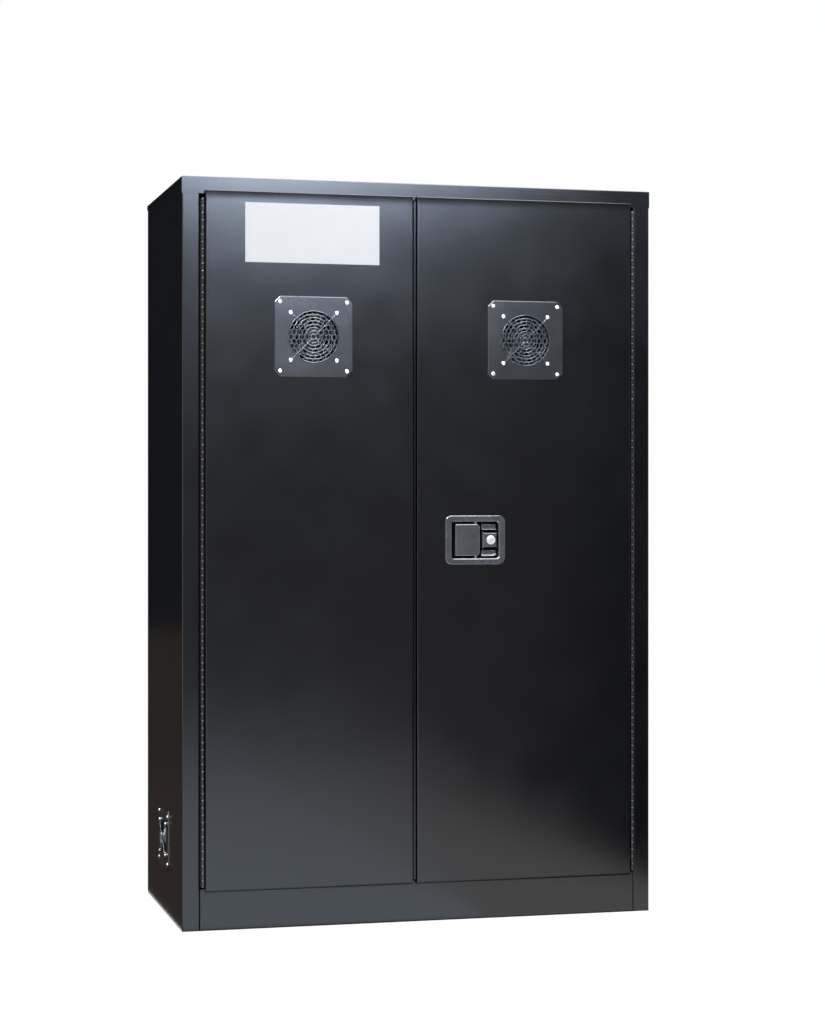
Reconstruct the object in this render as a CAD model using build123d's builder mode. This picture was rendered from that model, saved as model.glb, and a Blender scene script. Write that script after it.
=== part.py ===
"""Two-door battery charging cabinet in folded sheet steel, with fans in both doors and one side wall.

Millimetres. +Z is up, the doors face -Y, and +X is on the right when seen from the front.
The origin is the middle of the footprint, on the floor.
"""
import os
from math import cos, pi, radians, sin, sqrt

from build123d import *

# ---- Driving dimensions -------------------------------------------------------------------------
# Body of the cabinet: a double wall of folded sheet round a shelf space
cabinet_w = 1092.0
cabinet_d = 457.0
cabinet_h = 1651.0
sheet_t = 1.2
fold_r = 2.4
stile_w = 38.0
frame_depth = 36.0
kick_h = 92.0
flange_w = 20.0
cap_lip = 12.0
back_wall_gap = 33.7
sump_h = 38.0

# Doors: an outer skin over the frame, and an inner pan that goes in between the jambs
door_t = 38.0
door_proud = 12.0
door_overlap = 7.5
door_tray = 10.0
door_clear = 4.0
meeting_x = -18.5
meeting_gap = 10.0
hem_w = 3.0
hem_h = 7.0
hem_web_y = 8.0
hem_leg = 18.0

# Continuous hinges
hinge_gap = 12.0
knuckle_r = 4.0
hinge_pin_r = 2.0
running_fit = 0.05
leaf_t = 2.0
leaf_end = 33.0
leaf_step = 3.6
hinge_margin = 5.0
hinge_header_gap = 11.0
knuckle_count = 9
knuckle_gap = 0.3
barrel_sides = 8

# Fan units in the doors
fan_drop = 317.5
left_fan_offset = 7.0
fan_size = 120.0
fan_depth = 25.4
fan_bore_r = 58.0
fan_screw_pitch = 105.0
fan_plate_w = 177.8
fan_plate_pitch = 152.4
fan_blades = 7

# Fan unit in the left side wall
vent_y = 0.0
vent_z = 170.0
vent_size = 80.0
vent_bore_r = 38.0
vent_screw_pitch = 71.5
vent_plate_w = 133.0
vent_plate_pitch = 108.0
vent_blades = 5

# What all fan units share
plate_t = 2.0
plate_clip = 12.7
cut_clear = 1.0
cut_through = 3.6
ring_pitch = 10.5
guard_wire = 2.0
ring_sides = 16
duct_sides = 32
cell_pitch = 14.3
cell_wall = 1.0
motor_r = 20.0
motor_sides = 12
motor_base_t = 4.0
hub_gap = 1.0
strut_w = 5.0
blade_chord = 20.0
blade_t = 1.6
blade_angle = 38.0
blade_tip_gap = 2.5
blade_root = 1.0
fan_shaft_r = 2.0
screw_head_r = 4.5
screw_head_h = 2.2

# Sign plate
sign_w = 305.0
sign_h = 131.0
sign_t = 1.0
sign_drop = 90.5
sign_offset = 5.0

# Paddle latch
latch_inset = 135.5
latch_z = 853.0
escutcheon_w = 140.0
escutcheon_h = 110.0
escutcheon_t = 2.0
escutcheon_r = 14.0
recess_w = 111.0
recess_h = 82.0
recess_r = 6.0
recess_depth = 20.0
recess_wall = 1.5
finger_gap = 9.0
paddle_w = 58.0
paddle_h = 72.0
paddle_t = 3.0
paddle_drop = 1.5
paddle_corner_r = 8.0
paddle_lip = 7.0
paddle_swing = 30.0
pivot_inset = 8.0
pivot_back = 8.0
pivot_r = 2.5
barrel_r = 4.5
barrel_h = 54.0
arm_t = 4.0
arm_w = 8.0
arm_l = 16.5
neck_w = 34.0
neck_h = 32.4
neck_flare = 4.0
neck_flare_l = 6.0
neck_drop = 2.5
ledge_w = 34.0
ledge_h = 12.5
ledge_drop = 10.0
ledge_gap = 7.0
ledge_side_gap = 6.0

# Lock
lock_r = 10.3
lock_inset = 14.2
lock_proud = 1.5
lock_tail = 1.6
plug_r = 7.0
lock_sides = 32
plug_proud = 0.4
key_slot_w = 1.6
key_slot_h = 8.0
key_slot_depth = 3.0
cam_l = 15.0
cam_w = 8.0
cam_t = 1.4

# Latch works between the recess and the inner pan
crank_t = 2.5
crank_gap = 5.0
stud_r = 4.0
peg_at = 16.0
rod_pin_at = 25.0
bolt_pin_at = 36.0
works_pin_r = 2.5
peg_gap = 0.3
works_gap = 0.5
rod_w = 14.0
rod_t = 2.5
rod_eye_w = 20.0
rod_tip_chamfer = 3.5
rod_slot_clear = 0.9
rod_tip_clear = 2.0
bolt_tip_inset = 1.0
rod_hole_clear = 1.0
guide_w = 28.0
guide_h = 16.0
guide_wall = 2.5
guide_clear = 0.3
guide_inset = 70.0
guide_spacing = 420.0
bolt_guide_inset = 43.5

# Shelves
tier_names = ("lower", "middle", "upper")
shelf_lip = 25.0
shelf_gap = 1.0
shelf_front_inset = 7.5
shelf_back_inset = 5.0
standard_w = 20.0
standard_t = 6.0
standard_wall = 1.5
standard_y = 140.0
standard_margin = 20.0
clip_reach = 12.0
clip_w = 12.0
clip_h = 14.0
clip_t = 2.0

# Power strips
strip_w = 600.0
strip_h = 45.0
strip_d = 42.0
strip_bevel = 6.0
strip_drop = 143.0
outlet_count = 6
outlet_pitch = 78.0
outlet_w = 34.0
outlet_h = 28.0
outlet_t = 1.2
rocker_w = 20.0
rocker_h = 24.0
rocker_depth = 6.0
rocker_swing = 16.0
rocker_gap = 0.4
rocker_proud = 0.5
rocker_heel = 4.0
rocker_pin_r = 1.5
rocker_pin_l = 3.0
rocker_pin_end = 1.5
rocker_pocket = 12.0

# Grommet for the mains lead, in the back panel
grommet_inset = 106.0
grommet_z = 110.0
grommet_bore_r = 6.0
grommet_neck_r = 10.0
grommet_lip_r = 14.0
grommet_lip_t = 2.0
grommet_sides = 12

# ---- Places worked out from them ----------------------------------------------------------------
half_w = cabinet_w / 2
side_x = half_w - sheet_t
front_y = -cabinet_d / 2
back_y = cabinet_d / 2
jamb_x = side_x - stile_w
frame_back_y = front_y + frame_depth
header_z = cabinet_h - stile_w
floor_z = sheet_t + sump_h
flange_y = back_y - sheet_t
panel_back_y = flange_y - sheet_t
liner_back_y = panel_back_y - 2 * sheet_t - back_wall_gap

door_front_y = front_y - door_proud
door_back_y = door_front_y + door_t
door_bottom = kick_h - door_overlap
door_top = header_z + door_overlap
pan_bottom = kick_h + door_clear
pan_top = header_z - door_clear
door_edge_x = jamb_x - hinge_gap
hinge_x = jamb_x - hinge_gap / 2
hinge_y = door_front_y + knuckle_r
hinge_bottom = kick_h + hinge_margin
hinge_top = header_z - hinge_header_gap
meet_x = {-1: meeting_x - meeting_gap / 2, 1: meeting_x + meeting_gap / 2}
door_mid = {-1: (meet_x[-1] - door_edge_x) / 2, 1: (meet_x[1] + door_edge_x) / 2}
fan_z = door_top - fan_drop
left_fan_x = door_mid[-1] + left_fan_offset
right_fan_x = door_mid[1]
sign_x = door_mid[-1] + sign_offset
sign_z = door_top - sign_drop
latch_x = meet_x[1] + latch_inset
honeycomb_t = door_t - sheet_t - fan_depth
vent_depth = stile_w

escutcheon_y = door_front_y - escutcheon_t
recess_floor_y = escutcheon_y + recess_depth
works_y = recess_floor_y + recess_wall
paddle_y = escutcheon_y + paddle_drop
paddle_left = latch_x - recess_w / 2 + finger_gap
paddle_right = paddle_left + paddle_w
pivot_x = paddle_right - pivot_inset
pivot_y = paddle_y + pivot_back
neck_right = paddle_right + ledge_side_gap + neck_w
lock_x = neck_right - lock_inset
crank_x = pivot_x - arm_t / 2 - peg_gap - works_pin_r
crank_y = works_y + crank_gap
bolt_y = crank_y + crank_t + works_gap
rod_y = bolt_y + rod_t + works_gap
swing = radians(paddle_swing)
rod_travel = rod_pin_at * sin(swing)
bolt_travel = bolt_pin_at * sin(swing)

tier_pitch = (header_z - floor_z) / (len(tier_names) + 1)
shelf_tops = [floor_z + tier_pitch * (index + 1) for index in range(len(tier_names))]
strip_heights = [top + tier_pitch - strip_drop for top in shelf_tops]
grommet_x = grommet_inset - half_w


def front_plane(x, z, y=door_front_y):
    """Plane on the front of the doors: local X is +X, local Y is up, and it looks out at -Y."""
    return Plane(origin=(x, y, z), x_dir=(1, 0, 0), z_dir=(0, -1, 0))


def level(z):
    """Horizontal plane at height z."""
    return Plane.XY.offset(z)


def save(builder, name):
    """Label a finished piece and write it to its own file."""
    builder.part.label = name
    export_step(builder.part, f"parts/{name}.step")


def box_between(x0, x1, y0, y1, z0, z1, mode=Mode.ADD):
    """Box given by its low and high limits along each axis."""
    centre = ((x0 + x1) / 2, (y0 + y1) / 2, (z0 + z1) / 2)
    with Locations(centre):
        Box(x1 - x0, y1 - y0, z1 - z0, mode=mode)


def folded_sheet(points, side, plane):
    """Section of a folded sheet: its outer line, with rounded folds, thickened to one side."""
    with BuildSketch(plane) as section:
        with BuildLine():
            FilletPolyline(*points, radius=fold_r)
            offset(amount=sheet_t, side=side)
        make_face()
    return section.sketch


os.makedirs("parts", exist_ok=True)

vent_plane = Plane(origin=(-side_x, vent_y, vent_z), x_dir=(0, -1, 0), z_dir=(-1, 0, 0))
left_fan_plane = front_plane(left_fan_x, fan_z)
right_fan_plane = front_plane(right_fan_x, fan_z)

# ---- Outer shell --------------------------------------------------------------------------------
side_outline = [
    (jamb_x, frame_back_y),
    (jamb_x, front_y),
    (side_x, front_y),
    (side_x, flange_y),
    (side_x - flange_w, flange_y),
]


def side_panel(sign, cut_vent):
    """One folded side: rear flange, outer wall, front stile and jamb, notched under the header."""
    outline = [(sign * x, y) for x, y in side_outline]
    with BuildPart() as panel:
        section = folded_sheet(outline, Side.LEFT if sign > 0 else Side.RIGHT, level(sheet_t))
        extrude(section, amount=cabinet_h - fold_r - sheet_t)
        near = sign * (jamb_x - sheet_t)
        far = sign * (side_x - sheet_t)
        box_between(min(near, far), max(near, far), front_y - cut_clear,
                    frame_back_y + cut_clear, header_z, cabinet_h, Mode.SUBTRACT)
        box_between(-half_w, half_w, front_y - cut_clear, front_y + fold_r,
                    header_z, cabinet_h, Mode.SUBTRACT)
        if cut_vent:
            with BuildSketch(vent_plane):
                Rectangle(vent_size + cut_clear, vent_size + cut_clear)
            extrude(amount=-sheet_t, mode=Mode.SUBTRACT)
    return panel


save(side_panel(-1, True), "side_panel_left")
save(side_panel(1, False), "side_panel_right")


def rod_slots(z, thickness, centres):
    """Slots through a horizontal sheet for the two latch rods."""
    with BuildSketch(level(z)) as slots:
        with Locations(*[(x, rod_y + rod_t / 2) for x in centres]):
            Rectangle(rod_w + 2 * rod_hole_clear, rod_t + 2 * rod_hole_clear)
    extrude(slots.sketch, amount=thickness, mode=Mode.SUBTRACT)


upper_rod_x = crank_x - rod_pin_at
lower_rod_x = crank_x + rod_pin_at

with BuildPart() as top_panel:
    box_between(-half_w, half_w, front_y, back_y, header_z, cabinet_h)
    fillet(top_panel.edges().group_by(Axis.Z)[-1], fold_r)
    offset(amount=-sheet_t, openings=top_panel.faces().sort_by(Axis.Z)[0])
    box_between(-half_w, half_w, front_y + fold_r, back_y, header_z, cabinet_h - cap_lip, Mode.SUBTRACT)
    box_between(-side_x + sheet_t, side_x - sheet_t, front_y, frame_back_y, header_z, header_z + sheet_t)
    rod_slots(header_z, sheet_t, [upper_rod_x])
save(top_panel, "top_panel")

with BuildPart() as bottom_panel:
    box_between(-side_x, side_x, front_y, flange_y, 0, sheet_t)
save(bottom_panel, "bottom_panel")

with BuildPart() as back_panel:
    box_between(-side_x + fold_r, side_x - fold_r, panel_back_y - sheet_t, panel_back_y,
                sheet_t, cabinet_h - fold_r)
    with BuildSketch(Plane.XZ.offset(-panel_back_y)):
        with Locations((grommet_x, grommet_z)):
            RegularPolygon(grommet_neck_r, grommet_sides)
    extrude(amount=sheet_t, mode=Mode.SUBTRACT)
save(back_panel, "back_panel")

kick_outline = [
    (front_y + flange_w, sheet_t),
    (front_y, sheet_t),
    (front_y, kick_h),
    (frame_back_y, kick_h),
    (frame_back_y, sheet_t),
]
with BuildPart() as kick_plate:
    extrude(folded_sheet(kick_outline, Side.RIGHT, Plane.YZ.offset(-jamb_x)), amount=2 * jamb_x)
    rod_slots(kick_h - sheet_t, sheet_t, [lower_rod_x])
save(kick_plate, "kick_plate")

# ---- Inner walls --------------------------------------------------------------------------------
with BuildPart() as floor_pan:
    box_between(-jamb_x - sheet_t, jamb_x + sheet_t, frame_back_y, liner_back_y + sheet_t,
                sheet_t, floor_z)
    ends = floor_pan.faces().filter_by(Axis.X)
    offset(amount=-sheet_t, openings=[floor_pan.faces().sort_by(Axis.Z)[0], *ends])
save(floor_pan, "floor_pan")

with BuildPart() as inner_liner:
    box_between(-jamb_x - sheet_t, jamb_x + sheet_t, frame_back_y, liner_back_y + sheet_t, floor_z, header_z)
    box_between(-jamb_x, jamb_x, frame_back_y, liner_back_y, floor_z, header_z, Mode.SUBTRACT)
    with BuildSketch(vent_plane.offset(-stile_w + sheet_t)):
        Rectangle(vent_size + cut_clear, vent_size + cut_clear)
    extrude(amount=-cut_through, mode=Mode.SUBTRACT)
save(inner_liner, "inner_liner")

with BuildPart() as inner_ceiling:
    box_between(-jamb_x - sheet_t, jamb_x + sheet_t, frame_back_y, liner_back_y + sheet_t,
                header_z, header_z + sheet_t)
save(inner_ceiling, "inner_ceiling")

# ---- Doors --------------------------------------------------------------------------------------
bolt_z = latch_z - bolt_pin_at * (1 + cos(swing)) / 2


def bolt_slot(sign):
    """Slot for the centre bolt through the meeting edge of a door."""
    x = meet_x[sign]
    box_between(x - cut_through, x + cut_through, bolt_y - rod_hole_clear, bolt_y + rod_t + rod_hole_clear,
                bolt_z - rod_w / 2 - rod_hole_clear, bolt_z + rod_w / 2 + rod_hole_clear, Mode.SUBTRACT)


def door_limits(sign):
    """Low and high x of a door, left for -1 and right for 1."""
    return sorted((sign * door_edge_x, meet_x[sign]))


def door_skin(sign, fan_plane):
    """Outer skin: a folded tray whose two long edges go on back to the depth of the door."""
    x0, x1 = door_limits(sign)
    with BuildPart() as skin:
        box_between(x0, x1, door_front_y, door_back_y, door_bottom, door_top)
        front_edges = skin.edges().group_by(Axis.Y)[0]
        fillet(front_edges, fold_r)
        offset(amount=-sheet_t, openings=skin.faces().sort_by(Axis.Y)[-1])
        tray_y = door_front_y + door_tray
        box_between(x0, x1, tray_y, door_back_y, door_bottom, pan_bottom, Mode.SUBTRACT)
        box_between(x0, x1, tray_y, door_back_y, pan_top, door_top, Mode.SUBTRACT)
        with BuildSketch(fan_plane):
            Rectangle(fan_size + cut_clear, fan_size + cut_clear)
        extrude(amount=-sheet_t, mode=Mode.SUBTRACT)
        bolt_slot(sign)
        if sign > 0:
            with BuildSketch(front_plane(latch_x, latch_z)):
                Rectangle(recess_w + 2 * recess_wall + cut_clear, recess_h + 2 * recess_wall + cut_clear)
            extrude(amount=-sheet_t, mode=Mode.SUBTRACT)
    return skin


def door_pan(sign, fan_plane):
    """Inner pan: a shallow tray, open at the front, that closes the back of the door."""
    x0, x1 = door_limits(sign)
    with BuildPart() as pan:
        box_between(x0 + sheet_t, x1 - sheet_t, door_front_y + fold_r, door_back_y, pan_bottom, pan_top)
        offset(amount=-sheet_t, openings=pan.faces().sort_by(Axis.Y)[0])
        with BuildSketch(fan_plane.offset(-door_t)):
            Circle(fan_bore_r)
        extrude(amount=sheet_t, mode=Mode.SUBTRACT)
        bolt_slot(sign)
        if sign > 0:
            rod_slots(pan_top - sheet_t, sheet_t, [upper_rod_x])
            rod_slots(pan_bottom, sheet_t, [lower_rod_x])
    return pan


save(door_skin(-1, left_fan_plane), "left_door_skin")
save(door_skin(1, right_fan_plane), "right_door_skin")
save(door_pan(-1, left_fan_plane), "left_door_pan")
save(door_pan(1, right_fan_plane), "right_door_pan")

with BuildPart() as meeting_strip:
    strip_x = meet_x[-1]
    with BuildSketch(level(pan_bottom)):
        with BuildLine():
            hem_x = meeting_x - hem_w / 2
            hem_y = door_front_y + door_clear / 2
            web_y = door_front_y + hem_web_y
            Polyline(
                (strip_x, web_y + hem_leg),
                (strip_x, web_y),
                (hem_x, web_y),
                (hem_x, hem_y),
                (hem_x + hem_w, hem_y),
                (hem_x + hem_w, web_y + sheet_t),
                (strip_x + sheet_t, web_y + sheet_t),
                (strip_x + sheet_t, web_y + hem_leg),
                close=True,
            )
        make_face()
    extrude(amount=pan_top - pan_bottom)
save(meeting_strip, "meeting_strip")

with BuildPart() as sign_plate:
    with BuildSketch(front_plane(sign_x, sign_z)):
        Rectangle(sign_w, sign_h)
    extrude(amount=sign_t)
save(sign_plate, "sign_plate")


# ---- Continuous hinges --------------------------------------------------------------------------
def hinge_leaf(door_sign, towards, first_knuckle):
    """Leaf of a door's hinge: a joggled strip against the jamb (1) or door edge (-1), and its knuckles."""
    outward = door_sign * towards
    centre = (door_sign * hinge_x, hinge_y)
    near = knuckle_r / 2
    back = knuckle_r + knuckle_gap
    deep = hinge_gap / 2

    def at(u, v):
        return (centre[0] + outward * u, centre[1] + v)

    pitch = (hinge_top - hinge_bottom) / knuckle_count
    with BuildPart() as leaf:
        with BuildSketch(level(hinge_bottom)):
            with BuildLine():
                Polyline(
                    at(near, back),
                    at(near, back + leaf_t / 3),
                    at(deep - leaf_t, back + leaf_step),
                    at(deep - leaf_t, leaf_end),
                    at(deep, leaf_end),
                    at(deep, back + leaf_step - leaf_t / 3),
                    at(near + leaf_t, back),
                    close=True,
                )
            make_face()
        extrude(amount=hinge_top - hinge_bottom)
        for index in range(first_knuckle, knuckle_count, 2):
            with BuildSketch(level(hinge_bottom + index * pitch)):
                with Locations(centre):
                    RegularPolygon(knuckle_r, barrel_sides)
                with Locations(at(near + leaf_t / 2, back / 2)):
                    Rectangle(leaf_t, back)
                with Locations(centre):
                    RegularPolygon(hinge_pin_r + running_fit, barrel_sides, major_radius=False,
                                   mode=Mode.SUBTRACT)
            extrude(amount=pitch - knuckle_gap)
    return leaf


for sign, side_name in ((-1, "left"), (1, "right")):
    save(hinge_leaf(sign, 1, 0), f"{side_name}_hinge_frame_leaf")
    save(hinge_leaf(sign, -1, 1), f"{side_name}_hinge_door_leaf")

with BuildPart() as hinge_pins:
    with BuildSketch(level(hinge_bottom)):
        with Locations((-hinge_x, hinge_y), (hinge_x, hinge_y)):
            Circle(hinge_pin_r)
    extrude(amount=hinge_top - hinge_bottom)
save(hinge_pins, "hinge_pins")


# ---- Fan units ----------------------------------------------------------------------------------
def duct_opening(radius):
    """Round opening of a fan duct, drawn with flats that touch the true circle."""
    RegularPolygon(radius, duct_sides, major_radius=False, mode=Mode.SUBTRACT)


def fan_plate(plane, width, bore_r):
    """Square cover plate with clipped corners and a round opening."""
    with BuildPart() as plate:
        with BuildSketch(plane) as outline:
            Rectangle(width, width)
            chamfer(outline.vertices(), plate_clip)
            duct_opening(bore_r)
        extrude(amount=plate_t)
    return plate


def fan_guard(plane, bore_r, screw_pitch):
    """Finger guard: concentric wires on four diagonal legs that reach the fan's screws."""
    leg_reach = screw_pitch / sqrt(2) + screw_head_r
    with BuildPart() as guard:
        with BuildSketch(plane.offset(plate_t)):
            Rectangle(2 * leg_reach, guard_wire, rotation=45)
            Rectangle(2 * leg_reach, guard_wire, rotation=-45)
        extrude(amount=guard_wire)
        with BuildSketch(plane.offset(plate_t + guard_wire)):
            radius = bore_r - guard_wire
            while radius > ring_pitch / 2:
                RegularPolygon(radius, ring_sides)
                RegularPolygon(radius - guard_wire, ring_sides, mode=Mode.SUBTRACT)
                radius -= ring_pitch
        extrude(amount=guard_wire)
    return guard


def fan_screws(plane, plate_pitch, screw_pitch):
    """Eight plain screw heads: four hold the plate, and four hold the guard and fan."""
    with BuildPart() as screws:
        for pitch, seat in ((plate_pitch, plate_t), (screw_pitch, plate_t + guard_wire)):
            with BuildSketch(plane.offset(seat)):
                with GridLocations(pitch, pitch, 2, 2):
                    RegularPolygon(screw_head_r, 6)
            extrude(amount=screw_head_h)
    return screws


def honeycomb(plane):
    """Honeycomb panel: hexagonal cells inside the circle of the plate's opening."""
    with BuildPart() as panel:
        with BuildSketch(plane):
            Rectangle(fan_size, fan_size)
            row_pitch = cell_pitch * sqrt(3) / 2
            rows = int(fan_bore_r // row_pitch)
            for row in range(-rows, rows + 1):
                shift = (row % 2) * cell_pitch / 2
                for column in range(-rows, rows + 1):
                    x = column * cell_pitch + shift
                    y = row * row_pitch
                    if sqrt(x * x + y * y) < fan_bore_r - cell_pitch / 2:
                        with Locations((x, y)):
                            RegularPolygon((cell_pitch - cell_wall) / sqrt(3), 6, rotation=30,
                                           mode=Mode.SUBTRACT)
        extrude(amount=-honeycomb_t)
    return panel


def fan_frame(plane, size, depth, bore_r):
    """Square fan frame, its front on the plane: round duct, and a motor base on four struts."""
    with BuildPart() as frame:
        with BuildSketch(plane):
            Rectangle(size, size)
            duct_opening(bore_r)
        extrude(amount=-depth)
        with BuildSketch(plane.offset(-depth)):
            Rectangle(2 * bore_r + guard_wire, strut_w)
            Rectangle(strut_w, 2 * bore_r + guard_wire)
            RegularPolygon(motor_r, motor_sides)
            RegularPolygon(fan_shaft_r + running_fit, barrel_sides, major_radius=False, mode=Mode.SUBTRACT)
        extrude(amount=motor_base_t)
    return frame


def fan_rotor(plane, depth, bore_r, blades):
    """Hub with pitched blades, and the shaft that turns in the motor base."""
    hub_back = depth - motor_base_t - hub_gap
    tip_r = bore_r - blade_tip_gap
    mid = -(hub_back + hub_gap) / 2
    with BuildPart() as rotor:
        with BuildSketch(plane.offset(-hub_back)):
            RegularPolygon(motor_r, 2 * blades)
        extrude(amount=hub_back - hub_gap)
        with BuildSketch(plane.offset(-depth)):
            RegularPolygon(fan_shaft_r, barrel_sides)
        extrude(amount=motor_base_t + 2 * hub_gap)
        for index in range(blades):
            turn = index * 2 * pi / blades
            radial = plane.x_dir * cos(turn) + plane.y_dir * sin(turn)
            root = Plane(origin=plane.offset(mid).origin + radial * (motor_r - blade_root),
                         x_dir=plane.z_dir, z_dir=radial)
            with BuildSketch(root):
                Rectangle(blade_t, blade_chord, rotation=blade_angle)
            extrude(amount=tip_r - motor_r + blade_root)
    return rotor


for side_name, plane in (("left", left_fan_plane), ("right", right_fan_plane)):
    save(fan_plate(plane, fan_plate_w, fan_bore_r), f"{side_name}_fan_plate")
    save(fan_guard(plane, fan_bore_r, fan_screw_pitch), f"{side_name}_fan_guard")
    save(fan_screws(plane, fan_plate_pitch, fan_screw_pitch), f"{side_name}_fan_screws")
    save(honeycomb(plane), f"{side_name}_honeycomb")
    fan_face = plane.offset(-honeycomb_t)
    save(fan_frame(fan_face, fan_size, fan_depth, fan_bore_r), f"{side_name}_fan_frame")
    save(fan_rotor(fan_face, fan_depth, fan_bore_r, fan_blades), f"{side_name}_fan_rotor")

save(fan_plate(vent_plane, vent_plate_w, vent_bore_r), "vent_plate")
save(fan_guard(vent_plane, vent_bore_r, vent_screw_pitch), "vent_guard")
save(fan_screws(vent_plane, vent_plate_pitch, vent_screw_pitch), "vent_screws")
save(fan_frame(vent_plane, vent_size, vent_depth, vent_bore_r), "vent_fan_frame")
save(fan_rotor(vent_plane, vent_depth, vent_bore_r, vent_blades), "vent_fan_rotor")

# ---- Paddle latch -------------------------------------------------------------------------------
tub_w = recess_w + 2 * recess_wall
tub_h = recess_h + 2 * recess_wall
neck_left = paddle_right + ledge_side_gap
ledge_z = neck_h / 2 + ledge_gap + ledge_h / 2

with BuildPart() as latch_pan:
    with BuildSketch(front_plane(latch_x, latch_z)):
        RectangleRounded(escutcheon_w, escutcheon_h, escutcheon_r)
    extrude(amount=escutcheon_t)
    chamfer(latch_pan.edges().group_by(Axis.Y)[0], escutcheon_t / 2)
    with BuildSketch(front_plane(latch_x, latch_z)):
        Rectangle(tub_w, tub_h)
    extrude(amount=-(works_y - door_front_y))
    with BuildSketch(front_plane(latch_x, latch_z, escutcheon_y)):
        RectangleRounded(recess_w, recess_h, recess_r)
    extrude(amount=-recess_depth, mode=Mode.SUBTRACT)
    with BuildSketch(front_plane(latch_x, latch_z, recess_floor_y)):
        with Locations((paddle_right + ledge_side_gap + ledge_w / 2 - latch_x, ledge_z),
                       (paddle_right + ledge_side_gap + ledge_w / 2 - latch_x, -ledge_z)):
            Rectangle(ledge_w, ledge_h)
    extrude(amount=recess_depth - ledge_drop)
    with BuildSketch(front_plane(0, latch_z, recess_floor_y)):
        with BuildLine():
            half_neck = neck_h / 2
            Polyline(
                (neck_left, -half_neck - neck_flare),
                (neck_left + neck_flare_l, -half_neck),
                (neck_right, -half_neck),
                (neck_right, half_neck),
                (neck_left + neck_flare_l, half_neck),
                (neck_left, half_neck + neck_flare),
                close=True,
            )
        make_face()
    extrude(amount=recess_depth - neck_drop)
    with BuildSketch(front_plane(lock_x, latch_z, escutcheon_y)):
        RegularPolygon(lock_r, lock_sides)
    extrude(amount=-(works_y - escutcheon_y), mode=Mode.SUBTRACT)
    arm_left = pivot_x - arm_t / 2 - arm_l * sin(swing) - works_gap
    arm_slot_h = arm_w + 2 * cut_clear
    box_between(arm_left, pivot_x + arm_t, recess_floor_y, works_y,
                latch_z + peg_at - arm_slot_h / 2, latch_z + peg_at + arm_slot_h / 2, Mode.SUBTRACT)
    with BuildSketch(front_plane(crank_x, latch_z, works_y)):
        Circle(stud_r)
    extrude(amount=-(crank_gap + crank_t + works_gap / 2))
save(latch_pan, "latch_pan")

with BuildPart() as latch_pivot_pin:
    with BuildSketch(level(latch_z - recess_h / 2)):
        with Locations((pivot_x, pivot_y)):
            Circle(pivot_r)
    extrude(amount=recess_h)
save(latch_pivot_pin, "latch_pivot_pin")

with BuildPart() as latch_paddle:
    with BuildSketch(front_plane((paddle_left + paddle_right) / 2, latch_z, paddle_y)) as face:
        Rectangle(paddle_w, paddle_h)
        fillet(face.vertices().group_by(Axis.X)[-1], paddle_corner_r)
    extrude(amount=-paddle_t)
    box_between(paddle_left, paddle_left + paddle_t, paddle_y, paddle_y + paddle_lip,
                latch_z - paddle_h / 2, latch_z + paddle_h / 2)
    chamfer(latch_paddle.edges().group_by(Axis.Y)[0], paddle_t / 3)
    with BuildSketch(level(latch_z - barrel_h / 2)):
        with Locations((pivot_x, pivot_y)):
            RegularPolygon(barrel_r, 2 * barrel_sides)
        with Locations((pivot_x, (paddle_y + paddle_t / 2 + pivot_y) / 2)):
            Rectangle(2 * barrel_r, pivot_y - paddle_y - paddle_t / 2)
        with Locations((pivot_x, pivot_y)):
            RegularPolygon(pivot_r + running_fit, barrel_sides, major_radius=False, mode=Mode.SUBTRACT)
    extrude(amount=barrel_h)
    box_between(pivot_x - arm_t / 2, pivot_x + arm_t / 2, pivot_y + (pivot_r + barrel_r) / 2,
                pivot_y + arm_l,
                latch_z + peg_at - arm_w / 2, latch_z + peg_at + arm_w / 2)
save(latch_paddle, "latch_paddle")

lock_y = escutcheon_y + neck_drop - lock_proud
lock_back_y = works_y + lock_tail
with BuildPart() as lock_cylinder:
    with BuildSketch(front_plane(lock_x, latch_z, lock_y)):
        RegularPolygon(lock_r, lock_sides)
        Circle(plug_r + running_fit, mode=Mode.SUBTRACT)
    extrude(amount=-(lock_back_y - lock_y))
save(lock_cylinder, "lock_cylinder")

with BuildPart() as lock_plug:
    with BuildSketch(front_plane(lock_x, latch_z, lock_y - plug_proud)):
        Circle(plug_r)
    extrude(amount=-(lock_back_y + peg_gap - lock_y + plug_proud))
    with BuildSketch(front_plane(lock_x, latch_z, lock_y - plug_proud)):
        Rectangle(key_slot_w, key_slot_h)
    extrude(amount=-key_slot_depth, mode=Mode.SUBTRACT)
    box_between(lock_x - cam_w / 2, lock_x + cam_w / 2, lock_back_y + peg_gap, lock_back_y + peg_gap + cam_t,
                latch_z - cam_l, latch_z + cam_w / 2)
save(lock_plug, "lock_plug")


def works_pin(x, z, y0, y1):
    """Round pin along Y between two depths."""
    with BuildSketch(front_plane(x, z, y0)) as end:
        RegularPolygon(works_pin_r, barrel_sides)
    extrude(end.sketch, amount=-(y1 - y0))


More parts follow.
